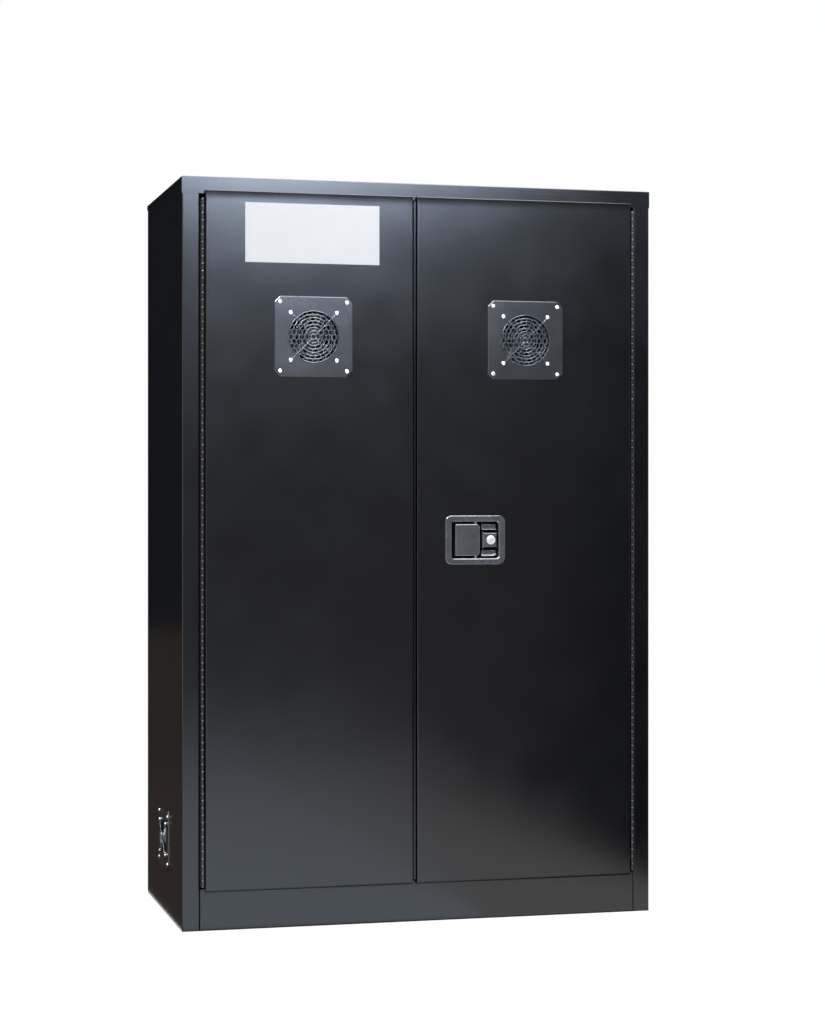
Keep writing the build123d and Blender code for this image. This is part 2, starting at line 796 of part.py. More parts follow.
with BuildPart() as latch_crank:
    with BuildSketch(front_plane(crank_x, latch_z, crank_y)):
        with BuildLine():
            tip = 2 * works_pin_r
            Polyline(
                (-tip, peg_at + tip),
                (tip, peg_at + tip),
                (rod_pin_at + tip, tip),
                (rod_pin_at + tip, -tip),
                (tip, -bolt_pin_at - tip),
                (-tip, -bolt_pin_at - tip),
                (-rod_pin_at - tip, -tip),
                (-rod_pin_at - tip, tip),
                close=True,
            )
        make_face()
        Circle(stud_r + running_fit, mode=Mode.SUBTRACT)
    extrude(amount=-crank_t)
    works_pin(crank_x, latch_z + peg_at, works_y + works_gap, crank_y)
    works_pin(upper_rod_x, latch_z, crank_y + crank_t, rod_y + rod_t)
    works_pin(lower_rod_x, latch_z, crank_y + crank_t, rod_y + rod_t)
    works_pin(crank_x, latch_z - bolt_pin_at, crank_y + crank_t, bolt_y + rod_t)
save(latch_crank, "latch_crank")


def latch_rod(side, tip_z):
    """Flat rod from the crank's left (-1) or right (1) pin to its tip, with a cross slot for the pin."""
    pin_x = crank_x + side * rod_pin_at
    slot_x = crank_x + side * rod_pin_at * (1 + cos(swing)) / 2
    slot_l = rod_pin_at * (1 - cos(swing)) + 2 * works_pin_r + rod_slot_clear
    eye_end = latch_z - rod_w / 2 * (1 if tip_z > latch_z else -1)
    with BuildPart() as rod:
        box_between(pin_x - rod_w / 2, pin_x + rod_w / 2, rod_y, rod_y + rod_t,
                    min(eye_end, tip_z), max(eye_end, tip_z))
        box_between(slot_x - rod_eye_w / 2, slot_x + rod_eye_w / 2, rod_y, rod_y + rod_t,
                    latch_z - rod_w / 2, latch_z + rod_w / 2)
        tip = rod.edges().filter_by(Axis.Y).sort_by(Axis.Z)
        chamfer(tip[-2:] if tip_z > latch_z else tip[:2], rod_tip_chamfer)
        box_between(slot_x - slot_l / 2, slot_x + slot_l / 2, rod_y, rod_y + rod_t,
                    latch_z - works_pin_r - rod_slot_clear / 2,
                    latch_z + works_pin_r + rod_slot_clear / 2, Mode.SUBTRACT)
    return rod


save(latch_rod(-1, header_z - rod_tip_clear + rod_travel), "upper_rod")
save(latch_rod(1, kick_h + rod_tip_clear - rod_travel), "lower_rod")

with BuildPart() as centre_bolt:
    bolt_slot_l = bolt_pin_at * (1 - cos(swing)) + 2 * works_pin_r + rod_slot_clear
    bolt_tip = meet_x[1] + bolt_tip_inset - bolt_travel
    box_between(bolt_tip, crank_x + rod_w / 2, bolt_y, bolt_y + rod_t, bolt_z - rod_w / 2, bolt_z + rod_w / 2)
    box_between(crank_x - rod_w / 2, crank_x + rod_w / 2, bolt_y, bolt_y + rod_t,
                bolt_z - rod_eye_w / 2, bolt_z + rod_eye_w / 2)
    box_between(crank_x - works_pin_r - rod_slot_clear / 2, crank_x + works_pin_r + rod_slot_clear / 2,
                bolt_y, bolt_y + rod_t, bolt_z - bolt_slot_l / 2, bolt_z + bolt_slot_l / 2, Mode.SUBTRACT)
save(centre_bolt, "centre_bolt")


def rod_guide(plane, layer_y):
    """Block on the inner pan with a slot along the plane's normal for one flat rod."""
    with BuildSketch(plane) as section:
        with Locations((0, (door_back_y - sheet_t + layer_y - guide_wall) / 2)):
            Rectangle(guide_w, door_back_y - sheet_t - layer_y + guide_wall)
        with Locations((0, layer_y + rod_t / 2)):
            Rectangle(rod_w + 2 * guide_clear, rod_t + 2 * guide_clear, mode=Mode.SUBTRACT)
    extrude(section.sketch, amount=guide_h)


with BuildPart() as rod_guides:
    for inset in (guide_inset, guide_inset + guide_spacing):
        rod_guide(Plane(origin=(upper_rod_x, 0, pan_top - inset), z_dir=(0, 0, 1)), rod_y)
        rod_guide(Plane(origin=(lower_rod_x, 0, pan_bottom + inset), z_dir=(0, 0, 1)), rod_y)
    rod_guide(Plane(origin=(meet_x[1] + bolt_guide_inset, 0, bolt_z), x_dir=(0, 0, -1), z_dir=(1, 0, 0)),
              bolt_y)
save(rod_guides, "rod_guides")

# ---- Shelves ------------------------------------------------------------------------------------
standard_x = jamb_x - standard_t
shelf_half_w = standard_x - shelf_gap
with BuildPart() as shelf_standards:
    for sign in (-1, 1):
        for y in (-standard_y, standard_y):
            x0, x1 = sorted((sign * standard_x, sign * jamb_x))
            box_between(x0, x1, y - standard_w / 2, y + standard_w / 2,
                        floor_z + standard_margin, header_z - standard_margin)
            x0, x1 = sorted((sign * (standard_x + standard_wall), sign * jamb_x))
            box_between(x0, x1, y - standard_w / 2 + standard_wall, y + standard_w / 2 - standard_wall,
                        floor_z + standard_margin, header_z - standard_margin, Mode.SUBTRACT)
save(shelf_standards, "shelf_standards")

with BuildPart() as shelf_clips:
    for top in shelf_tops:
        seat_z = top - shelf_lip
        for sign in (-1, 1):
            for y in (-standard_y, standard_y):
                x0, x1 = sorted((sign * standard_x, sign * (standard_x - clip_t)))
                box_between(x0, x1, y - clip_w / 2, y + clip_w / 2, seat_z - clip_h, seat_z)
                x0, x1 = sorted((sign * standard_x, sign * (standard_x - clip_reach)))
                box_between(x0, x1, y - clip_w / 2, y + clip_w / 2, seat_z - clip_t, seat_z)
save(shelf_clips, "shelf_clips")

for name, top in zip(tier_names, shelf_tops):
    with BuildPart() as shelf:
        box_between(-shelf_half_w, shelf_half_w, frame_back_y + shelf_front_inset,
                    liner_back_y - shelf_back_inset, top - shelf_lip, top)
        offset(amount=-sheet_t, openings=shelf.faces().sort_by(Axis.Z)[0])
    save(shelf, f"shelf_{name}")

# ---- Power strips -------------------------------------------------------------------------------
strip_front_y = liner_back_y - strip_d
rocker_x = strip_w / 2 - outlet_pitch / 2
rocker_tilt = radians(rocker_swing / 2)
rocker_reach = rocker_h / 2
rocker_rise = rocker_depth + rocker_proud
rocker_sweep = rocker_reach * cos(rocker_tilt) + rocker_rise * sin(rocker_tilt)
outlet_x0 = -strip_w / 2 + outlet_pitch / 2

for name, z in zip(tier_names, strip_heights):
    with BuildPart() as strip:
        with BuildSketch(Plane.YZ.offset(-strip_w / 2)) as section:
            with Locations((liner_back_y - strip_d / 2, z)):
                Rectangle(strip_d, strip_h)
            chamfer(section.vertices().group_by(Axis.Y)[0], strip_bevel)
        extrude(amount=strip_w)
        with BuildSketch(front_plane(0, z, strip_front_y)):
            with Locations(*[(outlet_x0 + i * outlet_pitch, 0) for i in range(outlet_count)]):
                Rectangle(outlet_w, outlet_h)
        extrude(amount=outlet_t)
        with BuildSketch(front_plane(rocker_x, z, strip_front_y)):
            Rectangle(rocker_w + 2 * rocker_gap, 2 * (rocker_sweep + rocker_gap))
        extrude(amount=-rocker_pocket, mode=Mode.SUBTRACT)
        pin_hole_l = rocker_w + 2 * (rocker_pin_l + rocker_pin_end)
        with BuildSketch(Plane.YZ.offset(rocker_x - pin_hole_l / 2)):
            with Locations((strip_front_y + rocker_depth, z)):
                RegularPolygon(rocker_pin_r + running_fit, barrel_sides, major_radius=False)
        extrude(amount=pin_hole_l, mode=Mode.SUBTRACT)
    save(strip, f"power_strip_{name}")

    with BuildPart() as rocker:
        pivot_line = Plane(origin=(rocker_x - rocker_w / 2, strip_front_y + rocker_depth, z),
                           x_dir=(0, cos(rocker_tilt), sin(rocker_tilt)), z_dir=(1, 0, 0))
        with BuildSketch(pivot_line):
            with BuildLine():
                dent = rocker_rise - 2 * rocker_reach * sin(rocker_tilt)
                Polyline(
                    (-rocker_rise, -rocker_reach),
                    (-dent, 0),
                    (-rocker_rise, rocker_reach),
                    (rocker_heel, 0),
                    close=True,
                )
            make_face()
        extrude(amount=rocker_w)
        with BuildSketch(pivot_line.offset(-rocker_pin_l)):
            RegularPolygon(rocker_pin_r, barrel_sides)
        extrude(amount=rocker_w + 2 * rocker_pin_l)
    save(rocker, f"rocker_{name}")

# ---- Mains cable entry --------------------------------------------------------------------------
with BuildPart() as cable_grommet:
    inner_face = panel_back_y - sheet_t - grommet_lip_t
    for start, depth, radius in ((0, grommet_lip_t, grommet_lip_r),
                                 (grommet_lip_t, sheet_t, grommet_neck_r),
                                 (grommet_lip_t + sheet_t, grommet_lip_t, grommet_lip_r)):
        with BuildSketch(Plane.XZ.offset(-inner_face - start)):
            with Locations((grommet_x, grommet_z)):
                RegularPolygon(radius, grommet_sides)
        extrude(amount=-depth)
    with BuildSketch(Plane.XZ.offset(-inner_face)):
        with Locations((grommet_x, grommet_z)):
            Circle(grommet_bore_r)
    extrude(amount=-(2 * grommet_lip_t + sheet_t), mode=Mode.SUBTRACT)
save(cable_grommet, "cable_grommet")
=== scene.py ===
from math import atan2, cos, pi, radians, sin, sqrt, tau

import bmesh
import bpy
import numpy as np
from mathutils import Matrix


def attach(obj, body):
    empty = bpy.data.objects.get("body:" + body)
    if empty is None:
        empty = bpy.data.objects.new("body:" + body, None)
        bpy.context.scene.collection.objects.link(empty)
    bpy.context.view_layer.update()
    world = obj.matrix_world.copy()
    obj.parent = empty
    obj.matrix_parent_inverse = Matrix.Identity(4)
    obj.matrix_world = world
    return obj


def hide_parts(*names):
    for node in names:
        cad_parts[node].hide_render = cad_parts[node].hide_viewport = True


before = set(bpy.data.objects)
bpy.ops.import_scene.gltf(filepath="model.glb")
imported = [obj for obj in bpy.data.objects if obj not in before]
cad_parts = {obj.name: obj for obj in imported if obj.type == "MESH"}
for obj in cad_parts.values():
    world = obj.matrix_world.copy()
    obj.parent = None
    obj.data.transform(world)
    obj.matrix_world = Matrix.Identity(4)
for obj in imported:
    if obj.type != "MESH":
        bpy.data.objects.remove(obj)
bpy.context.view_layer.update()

# Two-door battery cabinet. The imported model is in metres, with +Z up, the doors facing -Y and +X on the
# right when seen from the front. Sizes below are in millimetres, and the meshes are made in metres.
mm = 0.001

# ---- Shell ---------------------------------------------------------------------------------------
# The shell is folded from 1.2 mm steel sheet: two sides, a cap whose lips go down over them, a back, a
# kick plate, a floor and inner walls. It is degreased, sprayed with polyester powder and baked.


def linear(colour):
    """sRGB hex to linear RGBA: c / 12.92 near black, and ((c + 0.055) / 1.055) ** 2.4 above."""
    c = np.array([int(colour[i:i + 2], 16) for i in (1, 3, 5)]) / 255
    return (*np.where(c <= 0.04045, c / 12.92, ((c + 0.055) / 1.055) ** 2.4), 1.0)


def add_node(tree, kind, settings, links):
    """Adds a shader node. Settings go to its inputs, by name or number, or else to its properties, and
    links go from other nodes' outputs to its inputs."""
    node = tree.nodes.new("ShaderNode" + kind)
    for key, value in settings.items():
        if isinstance(key, int) or key in node.inputs:
            node.inputs[key].default_value = value
        else:
            setattr(node, key, value)
    for key, output in links.items():
        tree.links.new(output, node.inputs[key])
    return node


def new_finish(name, settings):
    """Starts a finish: a material whose shader has these settings, its tree, and object coordinates."""
    material = bpy.data.materials.new(name)
    material.use_nodes = True
    shader = material.node_tree.nodes["Principled BSDF"]
    for key, value in settings.items():
        shader.inputs[key].default_value = value
    place = add_node(material.node_tree, "TexCoord", {}, {}).outputs["Object"]
    return material, material.node_tree, shader, place


def surface(tree, shader, place, colours, patch, roughs, grain, relief):
    """Varies a finish: its colour and roughness drift between two values over patches of one size, and
    its grain, of another size, stands out by a relief. Sizes are in millimetres."""
    drift = add_node(tree, "TexNoise", {"Scale": 1 / (patch * mm), "Detail": 3.0}, {"Vector": place})
    tone = add_node(tree, "ValToRGB", {}, {0: drift.outputs[0]})
    for stop, where, colour in zip(tone.color_ramp.elements, (0.35, 0.65), colours):
        stop.position = where
        stop.color = linear(colour)
    tree.links.new(tone.outputs[0], shader.inputs["Base Color"])
    gloss = add_node(tree, "MapRange", {"From Min": 0.3, "From Max": 0.7, "To Min": roughs[0],
                                        "To Max": roughs[1]}, {0: drift.outputs[0]})
    tree.links.new(gloss.outputs[0], shader.inputs["Roughness"])
    fine = add_node(tree, "TexNoise", {"Scale": 1 / (grain * mm), "Detail": 1.0}, {"Vector": place})
    skin = add_node(tree, "Bump", {"Strength": 1.0, "Distance": relief * mm}, {"Height": fine.outputs[0]})
    tree.links.new(skin.outputs[0], shader.inputs["Normal"])
    return skin


def powder_coated(name):
    """Polyester powder coat, satin black, baked over sheet. Its gloss is slightly uneven, its orange peel
    is under 1 mm across and is drawn at 2.5 mm so that it shows at all, and the panels under it waver by
    half a millimetre over a hand's breadth or two, which bends the reflections."""
    material, tree, shader, place = new_finish(name, {"IOR": 1.6})
    peel = surface(tree, shader, place, ("#0e0f11", "#111215"), 90, (0.205, 0.235), 2.5, 0.008)
    waver = add_node(tree, "TexNoise", {"Scale": 1 / (380 * mm), "Detail": 0.0}, {"Vector": place})
    panel = add_node(tree, "Bump", {"Strength": 1.0, "Distance": 0.5 * mm}, {"Height": waver.outputs[0]})
    tree.links.new(panel.outputs[0], peel.inputs["Normal"])
    return material, tree, place, panel


powder_coat = powder_coated("baked_polyester_powder_coat_on_sheet")[0]

# Millimetres within which points are one or lie at a piece's end, and the length over which a fold is
# rounded. Degrees up to which faces are flat, and over which an edge is a fold or stays sharp in the shading.
one_point, at_end, fold_length = 0.01, 0.1, 4
flat_to, fold_over, sharp_over = 0.5, 60, 35


def finish_nodes(material, *names):
    """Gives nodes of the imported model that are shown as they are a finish."""
    for name in names:
        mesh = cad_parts[name].data
        mesh.materials.clear()
        mesh.materials.append(material)


def show(name, mesh, material, body, nodes):
    """Shows a mesh as a piece that rides on a body and stands for the named nodes. Its faces shade
    smoothly but for sharp edges, and broad faces keep their own normals beside rounded edges."""
    mesh.materials.clear()
    mesh.materials.append(material)
    mesh.shade_smooth()
    mesh.set_sharp_from_angle(angle=radians(sharp_over))
    piece = bpy.data.objects.new(name, mesh)
    bpy.context.scene.collection.objects.link(piece)
    even = piece.modifiers.new("even_normals", "WEIGHTED_NORMAL")
    even.keep_sharp = True
    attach(piece, body)
    if nodes:
        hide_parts(*nodes)
    return piece


def folded(name, node, material, body, radius, narrow=3.6, cut_edge=0.55, end_gap=0.0):
    """Sheet piece from a copy of a node's faces, merged: its outside folds are rounded, and its cut
    edges broken. A fold is an outward edge whose two faces are both wider than three walls. Both ends of
    the piece along X are drawn in by the end gap."""
    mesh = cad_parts[node].data.copy()
    mesh.name = name
    points = np.empty(3 * len(mesh.vertices))
    mesh.vertices.foreach_get("co", points)
    x = points[::3]
    x -= np.sign(x) * end_gap * mm * (np.abs(x) > np.abs(x).max() - at_end * mm)
    mesh.vertices.foreach_set("co", points)
    work = bmesh.new()
    work.from_mesh(mesh)
    bmesh.ops.remove_doubles(work, verts=work.verts, dist=one_point * mm)
    bmesh.ops.dissolve_limit(work, angle_limit=radians(flat_to), verts=work.verts, edges=work.edges)
    for wide, size, steps in ((True, radius, 3), (False, cut_edge, 1)):
        outward = [edge for edge in work.edges if len(edge.link_faces) == 2
                   and edge.calc_face_angle_signed() > radians(fold_over)
                   and edge.calc_length() > fold_length * mm]
        chosen = [edge for edge in outward if wide == all(
            face.calc_area() > narrow * mm * edge.calc_length() for face in edge.link_faces)]
        if chosen and size:
            bmesh.ops.bevel(work, geom=chosen, offset=size * mm, segments=steps, profile=0.5,
                            affect="EDGES", clamp_overlap=True)
    bmesh.ops.recalc_face_normals(work, faces=work.faces)
    work.to_mesh(mesh)
    work.free()
    if "custom_normal" in mesh.attributes:
        mesh.attributes.remove(mesh.attributes["custom_normal"])
    return show(name, mesh, material, body, [node])


side_fold, cap_fold, kick_fold, kick_gap = 1.6, 2.5, 2.0, 2.0
for name, node, radius in (("left_side_sheet", "side_panel_left", side_fold),
                           ("right_side_sheet", "side_panel_right", side_fold),
                           ("top_cap", "top_panel", cap_fold), ("rear_sheet", "back_panel", side_fold)):
    folded(name, node, powder_coat, "cabinet", radius)
folded("kick_sheet", "kick_plate", powder_coat, "cabinet", kick_fold, end_gap=kick_gap)
finish_nodes(powder_coat, "bottom_panel", "floor_pan", "inner_liner", "inner_ceiling")

# ---- Continuous hinges ---------------------------------------------------------------------------
# Each door hangs on a piano hinge as tall as itself: two joggled strips of 2 mm steel, rolled into 95
# knuckles that turn in line on one steel pin. The strips are sprayed with the cabinet, the pin is bare.
standing = np.eye(3)

# Bright zinc plate over drawn or cold-rolled mild steel: a faintly blue metal with cloudy bloom.
zinc, tree, shader, place = new_finish("electroplated_zinc_on_rolled_steel", {"Metallic": 1.0})
surface(tree, shader, place, ("#b9bdc2", "#d5d8dc"), 6, (0.26, 0.4), 0.8, 0.004)


def placed(shape, origin, axes=standing):
    """A shape moved from its own right, up and out axes to a place and three axes of the cabinet."""
    return shape[0] @ axes + np.array(origin, float), shape[1]


def joined(shapes):
    """Several shapes as one: their vertices in a row, and their faces counted on from each other."""
    starts = np.cumsum([0] + [len(vertices) for vertices, faces in shapes])
    faces = [[corner + start for corner in face]
             for start, (vertices, faces) in zip(starts.tolist(), shapes) for face in faces]
    return np.concatenate([vertices for vertices, faces in shapes]), faces


def grid(points, round_u=False, round_v=False, capped=False):
    """Quads through a u by v array of points. A round direction closes on itself, and capped fills the
    outlines of the first and the last row."""
    rows, columns = points.shape[:2]
    here = np.arange(rows * columns).reshape(rows, columns)
    ahead = np.roll(here, -1, 0)
    quads = np.stack([here, ahead, np.roll(ahead, -1, 1), np.roll(here, -1, 1)], -1)
    quads = quads[:rows if round_u else rows - 1, :columns if round_v else columns - 1]
    faces = quads.reshape(-1, 4).tolist()
    if capped:
        faces += [here[0].tolist(), here[-1, ::-1].tolist()]
    return points.reshape(-1, 3), faces


def turned(profile, sides=32):
    """Profile of radius and height turned about the height axis: (r cos a, r sin a, h)."""
    radius, height = np.array(profile, float).T[:, :, None]
    angle = np.linspace(0, tau, sides, endpoint=False)
    return np.stack([radius * np.cos(angle), radius * np.sin(angle), height + 0 * angle], -1)


def stacked(outlines, heights):
    """Outlines of as many points each, one above the other at these heights."""
    levels = np.repeat(np.array(heights, float)[:, None, None], len(outlines[0]), 1)
    return np.concatenate([np.array(outlines, float), levels], -1)


def prism(outline, low, high):
    """Outline carried straight from a low to a high level, with both ends closed."""
    return grid(stacked([outline, outline], (low, high)), round_v=True, capped=True)


def new_mesh(name, shapes):
    """Mesh in metres of shapes in millimetres, merged where they meet, with faces outwards."""
    vertices, faces = joined(shapes)
    mesh = bpy.data.meshes.new(name)
    mesh.from_pydata((vertices * mm).tolist(), [], faces)
    work = bmesh.new()
    work.from_mesh(mesh)
    bmesh.ops.remove_doubles(work, verts=work.verts, dist=0.0005 * mm)
    bmesh.ops.recalc_face_normals(work, faces=work.faces)
    work.to_mesh(mesh)
    work.free()
    return mesh


def make_piece(name, shapes, material, body, slot, *nodes, holes=()):
    """Shows shapes in millimetres as one piece, with closed shapes cut out of it for good."""
    mesh = new_mesh(name, shapes)
    if holes:
        solid, cutter = [bpy.data.objects.new("carving", each) for each in (mesh, new_mesh("holes", holes))]
        for item in (solid, cutter):
            bpy.context.scene.collection.objects.link(item)
        carve = solid.modifiers.new("carve", "BOOLEAN")
        carve.object = cutter
        carve.solver = "EXACT"
        graph = bpy.context.evaluated_depsgraph_get()
        mesh = bpy.data.meshes.new_from_object(solid.evaluated_get(graph))
        for item in (solid, cutter):
            bpy.data.objects.remove(item)
    return show(name, mesh, material, body, nodes)


hinge_x, hinge_y = 500.8, -236.5
hinge_bottom, hinge_top = 97.0, 1602.0
knuckle_r, pin_hole_r, knuckle_gap, roll = 4.0, 2.05, 1.5, 0.6
knuckle_count, knuckle_sides = 95, 16
knuckle_pitch = (hinge_top - hinge_bottom) / knuckle_count
knuckle_l = knuckle_pitch - knuckle_gap
leaf_outline = np.array([(2, 4.3), (2, 4.97), (4, 7.9), (4, 33), (6, 33), (6, 7.23), (4, 4.3)])
tangent = np.array([(2, 0), (4, 0), (4, 4.4), (2, 4.4)])
knuckle_ring = grid(turned([(pin_hole_r, 0), (knuckle_r - roll, 0), (knuckle_r, roll),
                            (knuckle_r, knuckle_l - roll), (knuckle_r - roll, knuckle_l),
                            (pin_hole_r, knuckle_l)], knuckle_sides), True, True)
for sign, side in ((-1, "left"), (1, "right")):
    for body, part, first, outward in (("cabinet", "frame", 0, sign), (side + "_door", "door", 1, -sign)):
        shapes = [prism(leaf_outline * (outward, 1), hinge_bottom, hinge_top)]
        web = prism(tangent * (outward, 1), 0, knuckle_l)
        shapes += [placed(shape, (0, 0, hinge_bottom + knuckle_gap / 2 + index * knuckle_pitch))
                   for index in range(first, knuckle_count, 2) for shape in (knuckle_ring, web)]
        make_piece(f"{side}_{part}_hinge_strip", [placed(joined(shapes), (sign * hinge_x, hinge_y, 0))],
                   powder_coat, body, "black_powder_coat", f"{side}_hinge_{part}_leaf")
finish_nodes(zinc, "hinge_pins")

# ---- Doors ---------------------------------------------------------------------------------------
# Each door is a tray of folded steel sheet with a flatter tray welded into its back. A strip on the left
# door's pan fills the gap where the two doors meet.
door_fold, pan_fold = 2.0, 1.2
door_low, door_high, low_reach, high_reach, fold_rise = 84.5, 1620.5, 9.0, 24.0, 1.0

# The same powder coat, on a skin whose top and bottom edges stand a millimetre proud where the brake
# folded them. The height rises with the cube of the nearness to the edge, and turns the reflection dark.
door_coat, tree, place, panel = powder_coated("baked_polyester_powder_coat_on_door_skin")
height = add_node(tree, "SeparateXYZ", {}, {0: place}).outputs["Z"]
edges = [add_node(tree, "MapRange", {"From Min": (edge + inwards) * mm, "From Max": edge * mm}, {0: height})
         for edge, inwards in ((door_high, -high_reach), (door_low, low_reach))]
nearness = add_node(tree, "Math", {"operation": "MAXIMUM"},
                    {0: edges[0].outputs[0], 1: edges[1].outputs[0]})
rise = add_node(tree, "Math", {"operation": "POWER", 1: 3.0}, {0: nearness.outputs[0]})
proud = add_node(tree, "Bump", {"Strength": 1.0, "Distance": fold_rise * mm}, {"Height": rise.outputs[0]})
tree.links.new(proud.outputs[0], panel.inputs["Normal"])
for side in ("left", "right"):
    folded(f"{side}_door_sheet", f"{side}_door_skin", door_coat, f"{side}_door",
           door_fold)
    folded(f"{side}_door_inner_tray", f"{side}_door_pan", powder_coat, f"{side}_door",
           pan_fold, cut_edge=0)
finish_nodes(powder_coat, "meeting_strip")

# ---- Sign plate ----------------------------------------------------------------------------------
# A bare plate of 1 mm aluminium, stoved white, is fixed flat on the left door above the fan. Satin white
# stoving enamel has a soft even sheen and a very fine peel, drawn at 2 mm.
enamel, tree, shader, place = new_finish("stoved_white_enamel_on_aluminium", {"IOR": 1.5})
surface(tree, shader, place, ("#edeff3", "#f0f1f5"), 120, (0.42, 0.48), 2.0, 0.003)
facing_front = np.array([(1, 0, 0), (0, 0, 1), (0, -1, 0)])
sign_centre, sign_size, sign_t = (-254.15, -240.5, 1530.0), (305.0, 131.0), 1.0


def rounded_rect(width, height, radii, centre=(0, 0), count=8):
    """Rectangle with a radius for each corner, counter-clockwise from the upper right."""
    radii = np.broadcast_to(np.array(radii, float), 4)[:, None]
    side = np.array([(1, 1), (-1, 1), (-1, -1), (1, -1)])[:, None]
    angle = np.linspace(0, pi / 2, count) + np.arange(4)[:, None] * pi / 2
    arc = np.stack([np.cos(angle), np.sin(angle)], -1) * radii[:, :, None]
    corner = side * (np.array([width / 2, height / 2]) - radii[:, :, None])
    return (corner + arc).reshape(-1, 2) + centre


def inset(outline, amount):
    """An outline moved inwards by an amount along the bisectors of its corners."""
    outline = np.array(outline, float)
    ahead = np.roll(outline, -1, 0) - outline
    inward = np.stack([-ahead[:, 1], ahead[:, 0]], -1) / np.linalg.norm(ahead, axis=1, keepdims=True)
    before = np.roll(inward, 1, 0)
    return outline + amount * (before + inward) / (1 + (before * inward).sum(1, keepdims=True))


def block(outline, low, high, edge, steps=4):
    """Outline raised from low to high, with its upper edge rounded in a quarter circle."""
    turn = np.linspace(0, pi / 2, steps)
    insets = edge * (1 - np.cos(turn))
    heights = high - edge * (1 - np.sin(turn))
    return grid(stacked([outline] + [inset(outline, amount) for amount in insets], [low, *heights]),
                round_v=True, capped=True)


make_piece("bare_sign_plate", [placed(block(rounded_rect(*sign_size, 1.0), 0, sign_t, 0.3), sign_centre,
                                      facing_front)], enamel, "left_door", "white_sign", "sign_plate")

# ---- Fan units -----------------------------------------------------------------------------------
# Two 120 mm fans sit in the doors behind square steel plates, each with a pad of aluminium honeycomb in
# front of it and a wire finger guard over it. An 80 mm fan sits in the left side without the honeycomb.
# Four screws hold each plate, and four more the guard and the fan.
facing_left = np.array([(0, -1, 0), (0, 0, 1), (-1, 0, 0)])
plate_t, plate_clip, plate_edge = 2.0, 12.7, 1.9
wire_r, ring_pitch, eye_r = 0.85, 7.3, 4.4

# Semi-gloss enamel over a steel plate: a shade lighter and much glossier than the cabinet's powder coat,
# with the same orange peel drawn at 2.5 mm.
plate_paint, tree, shader, place = new_finish("sprayed_semi_gloss_enamel_on_steel", {"IOR": 1.85})
surface(tree, shader, place, ("#1f2125", "#24262a"), 70, (0.25, 0.29), 2.5, 0.008)

# Nickel over drawn steel wire, darkened by a clear black lacquer: it glints along its length.
wire_finish, tree, shader, place = new_finish("dark_nickel_plated_drawn_wire", {"Metallic": 1.0})
surface(tree, shader, place, ("#6b6f74", "#7b7f84"), 9, (0.22, 0.28), 1.0, 0.004)

# Bright zinc plate on cold-headed screws: nearly white, with a soft bloom and faint die marks.
bright_zinc, tree, shader, place = new_finish("electroplated_zinc_on_cold_headed_steel", {"Metallic": 1.0})
surface(tree, shader, place, ("#eceff3", "#f6f8fa"), 3, (0.22, 0.3), 0.9, 0.006)

# Expanded aluminium foil, glued and pulled into cells: dull grey, slightly crinkled and streaked.
foil, tree, shader, place = new_finish("expanded_aluminium_foil", {"Metallic": 1.0})
surface(tree, shader, place, ("#6a6e74", "#7b8086"), 12, (0.42, 0.58), 2.2, 0.12)

# Glass-filled polyester, injection moulded: dark grey, matt, with a spark-eroded grain drawn at 1.5 mm.
fan_plastic, tree, shader, place = new_finish("injection_moulded_glass_filled_polyester", {"IOR": 1.5})
surface(tree, shader, place, ("#2e3034", "#35373b"), 20, (0.46, 0.56), 1.5, 0.02)


def clipped_square(angle, half, clip):
    """Radius, by angle, of a square of this half width whose corners are clipped: 1 over the largest of
    |cos| / half, |sin| / half and (|cos| + |sin|) / (2 half - clip)."""
    c, s = np.abs(np.cos(angle)), np.abs(np.sin(angle))
    return 1 / np.maximum(np.maximum(c, s) / half, (c + s) / (2 * half - clip))


def square_angles(half, clip, count=96):
    """Even angles round a circle, together with those of the eight corners of a clipped square."""
    corner = atan2(half - clip, half)
    corners = [quarter + turn for quarter in np.arange(4) * pi / 2 for turn in (corner, -corner)]
    return np.unique(np.round(np.mod(np.concatenate([np.arange(count) * tau / count, corners]), tau), 9))


def ringed(angle, stations):
    """Ring through stations, each a radius for every angle and a height, closed on itself."""
    radius = np.array([radius + 0 * angle for radius, height in stations])
    height = np.array([height + 0 * angle for radius, height in stations])
    return grid(np.stack([radius * np.cos(angle), radius * np.sin(angle), height], -1), True, True)


def wire(path, radius, closed=False, sides=8):
    """Round wire along a path: circles square to its direction, one side level with the plate."""
    path = np.array(path, float)
    ahead = np.roll(path, -1, 0) - np.roll(path, 1, 0) if closed else np.gradient(path, axis=0)
    ahead = ahead / np.linalg.norm(ahead, axis=1, keepdims=True)
    side = np.cross(ahead, (0, 0, 1))
    side = side / np.linalg.norm(side, axis=1, keepdims=True)
    rise = np.cross(side, ahead)
    turn = np.linspace(0, tau, sides, endpoint=False)[None, :, None]
    points = path[:, None] + radius * (np.cos(turn) * side[:, None] + np.sin(turn) * rise[:, None])
    return grid(points, closed, True, not closed)


def hoop(radius, height, count=72):
    """Points of a level circle."""
    angle = np.linspace(0, tau, count, endpoint=False)
    return np.stack([radius * np.cos(angle), radius * np.sin(angle), height + 0 * angle], -1)


def turned_by(shape, angle):
    """A shape turned about its out axis."""
    c, s = cos(angle), sin(angle)
    return shape[0] @ np.array([(c, s, 0), (-s, c, 0), (0, 0, 1)]), shape[1]


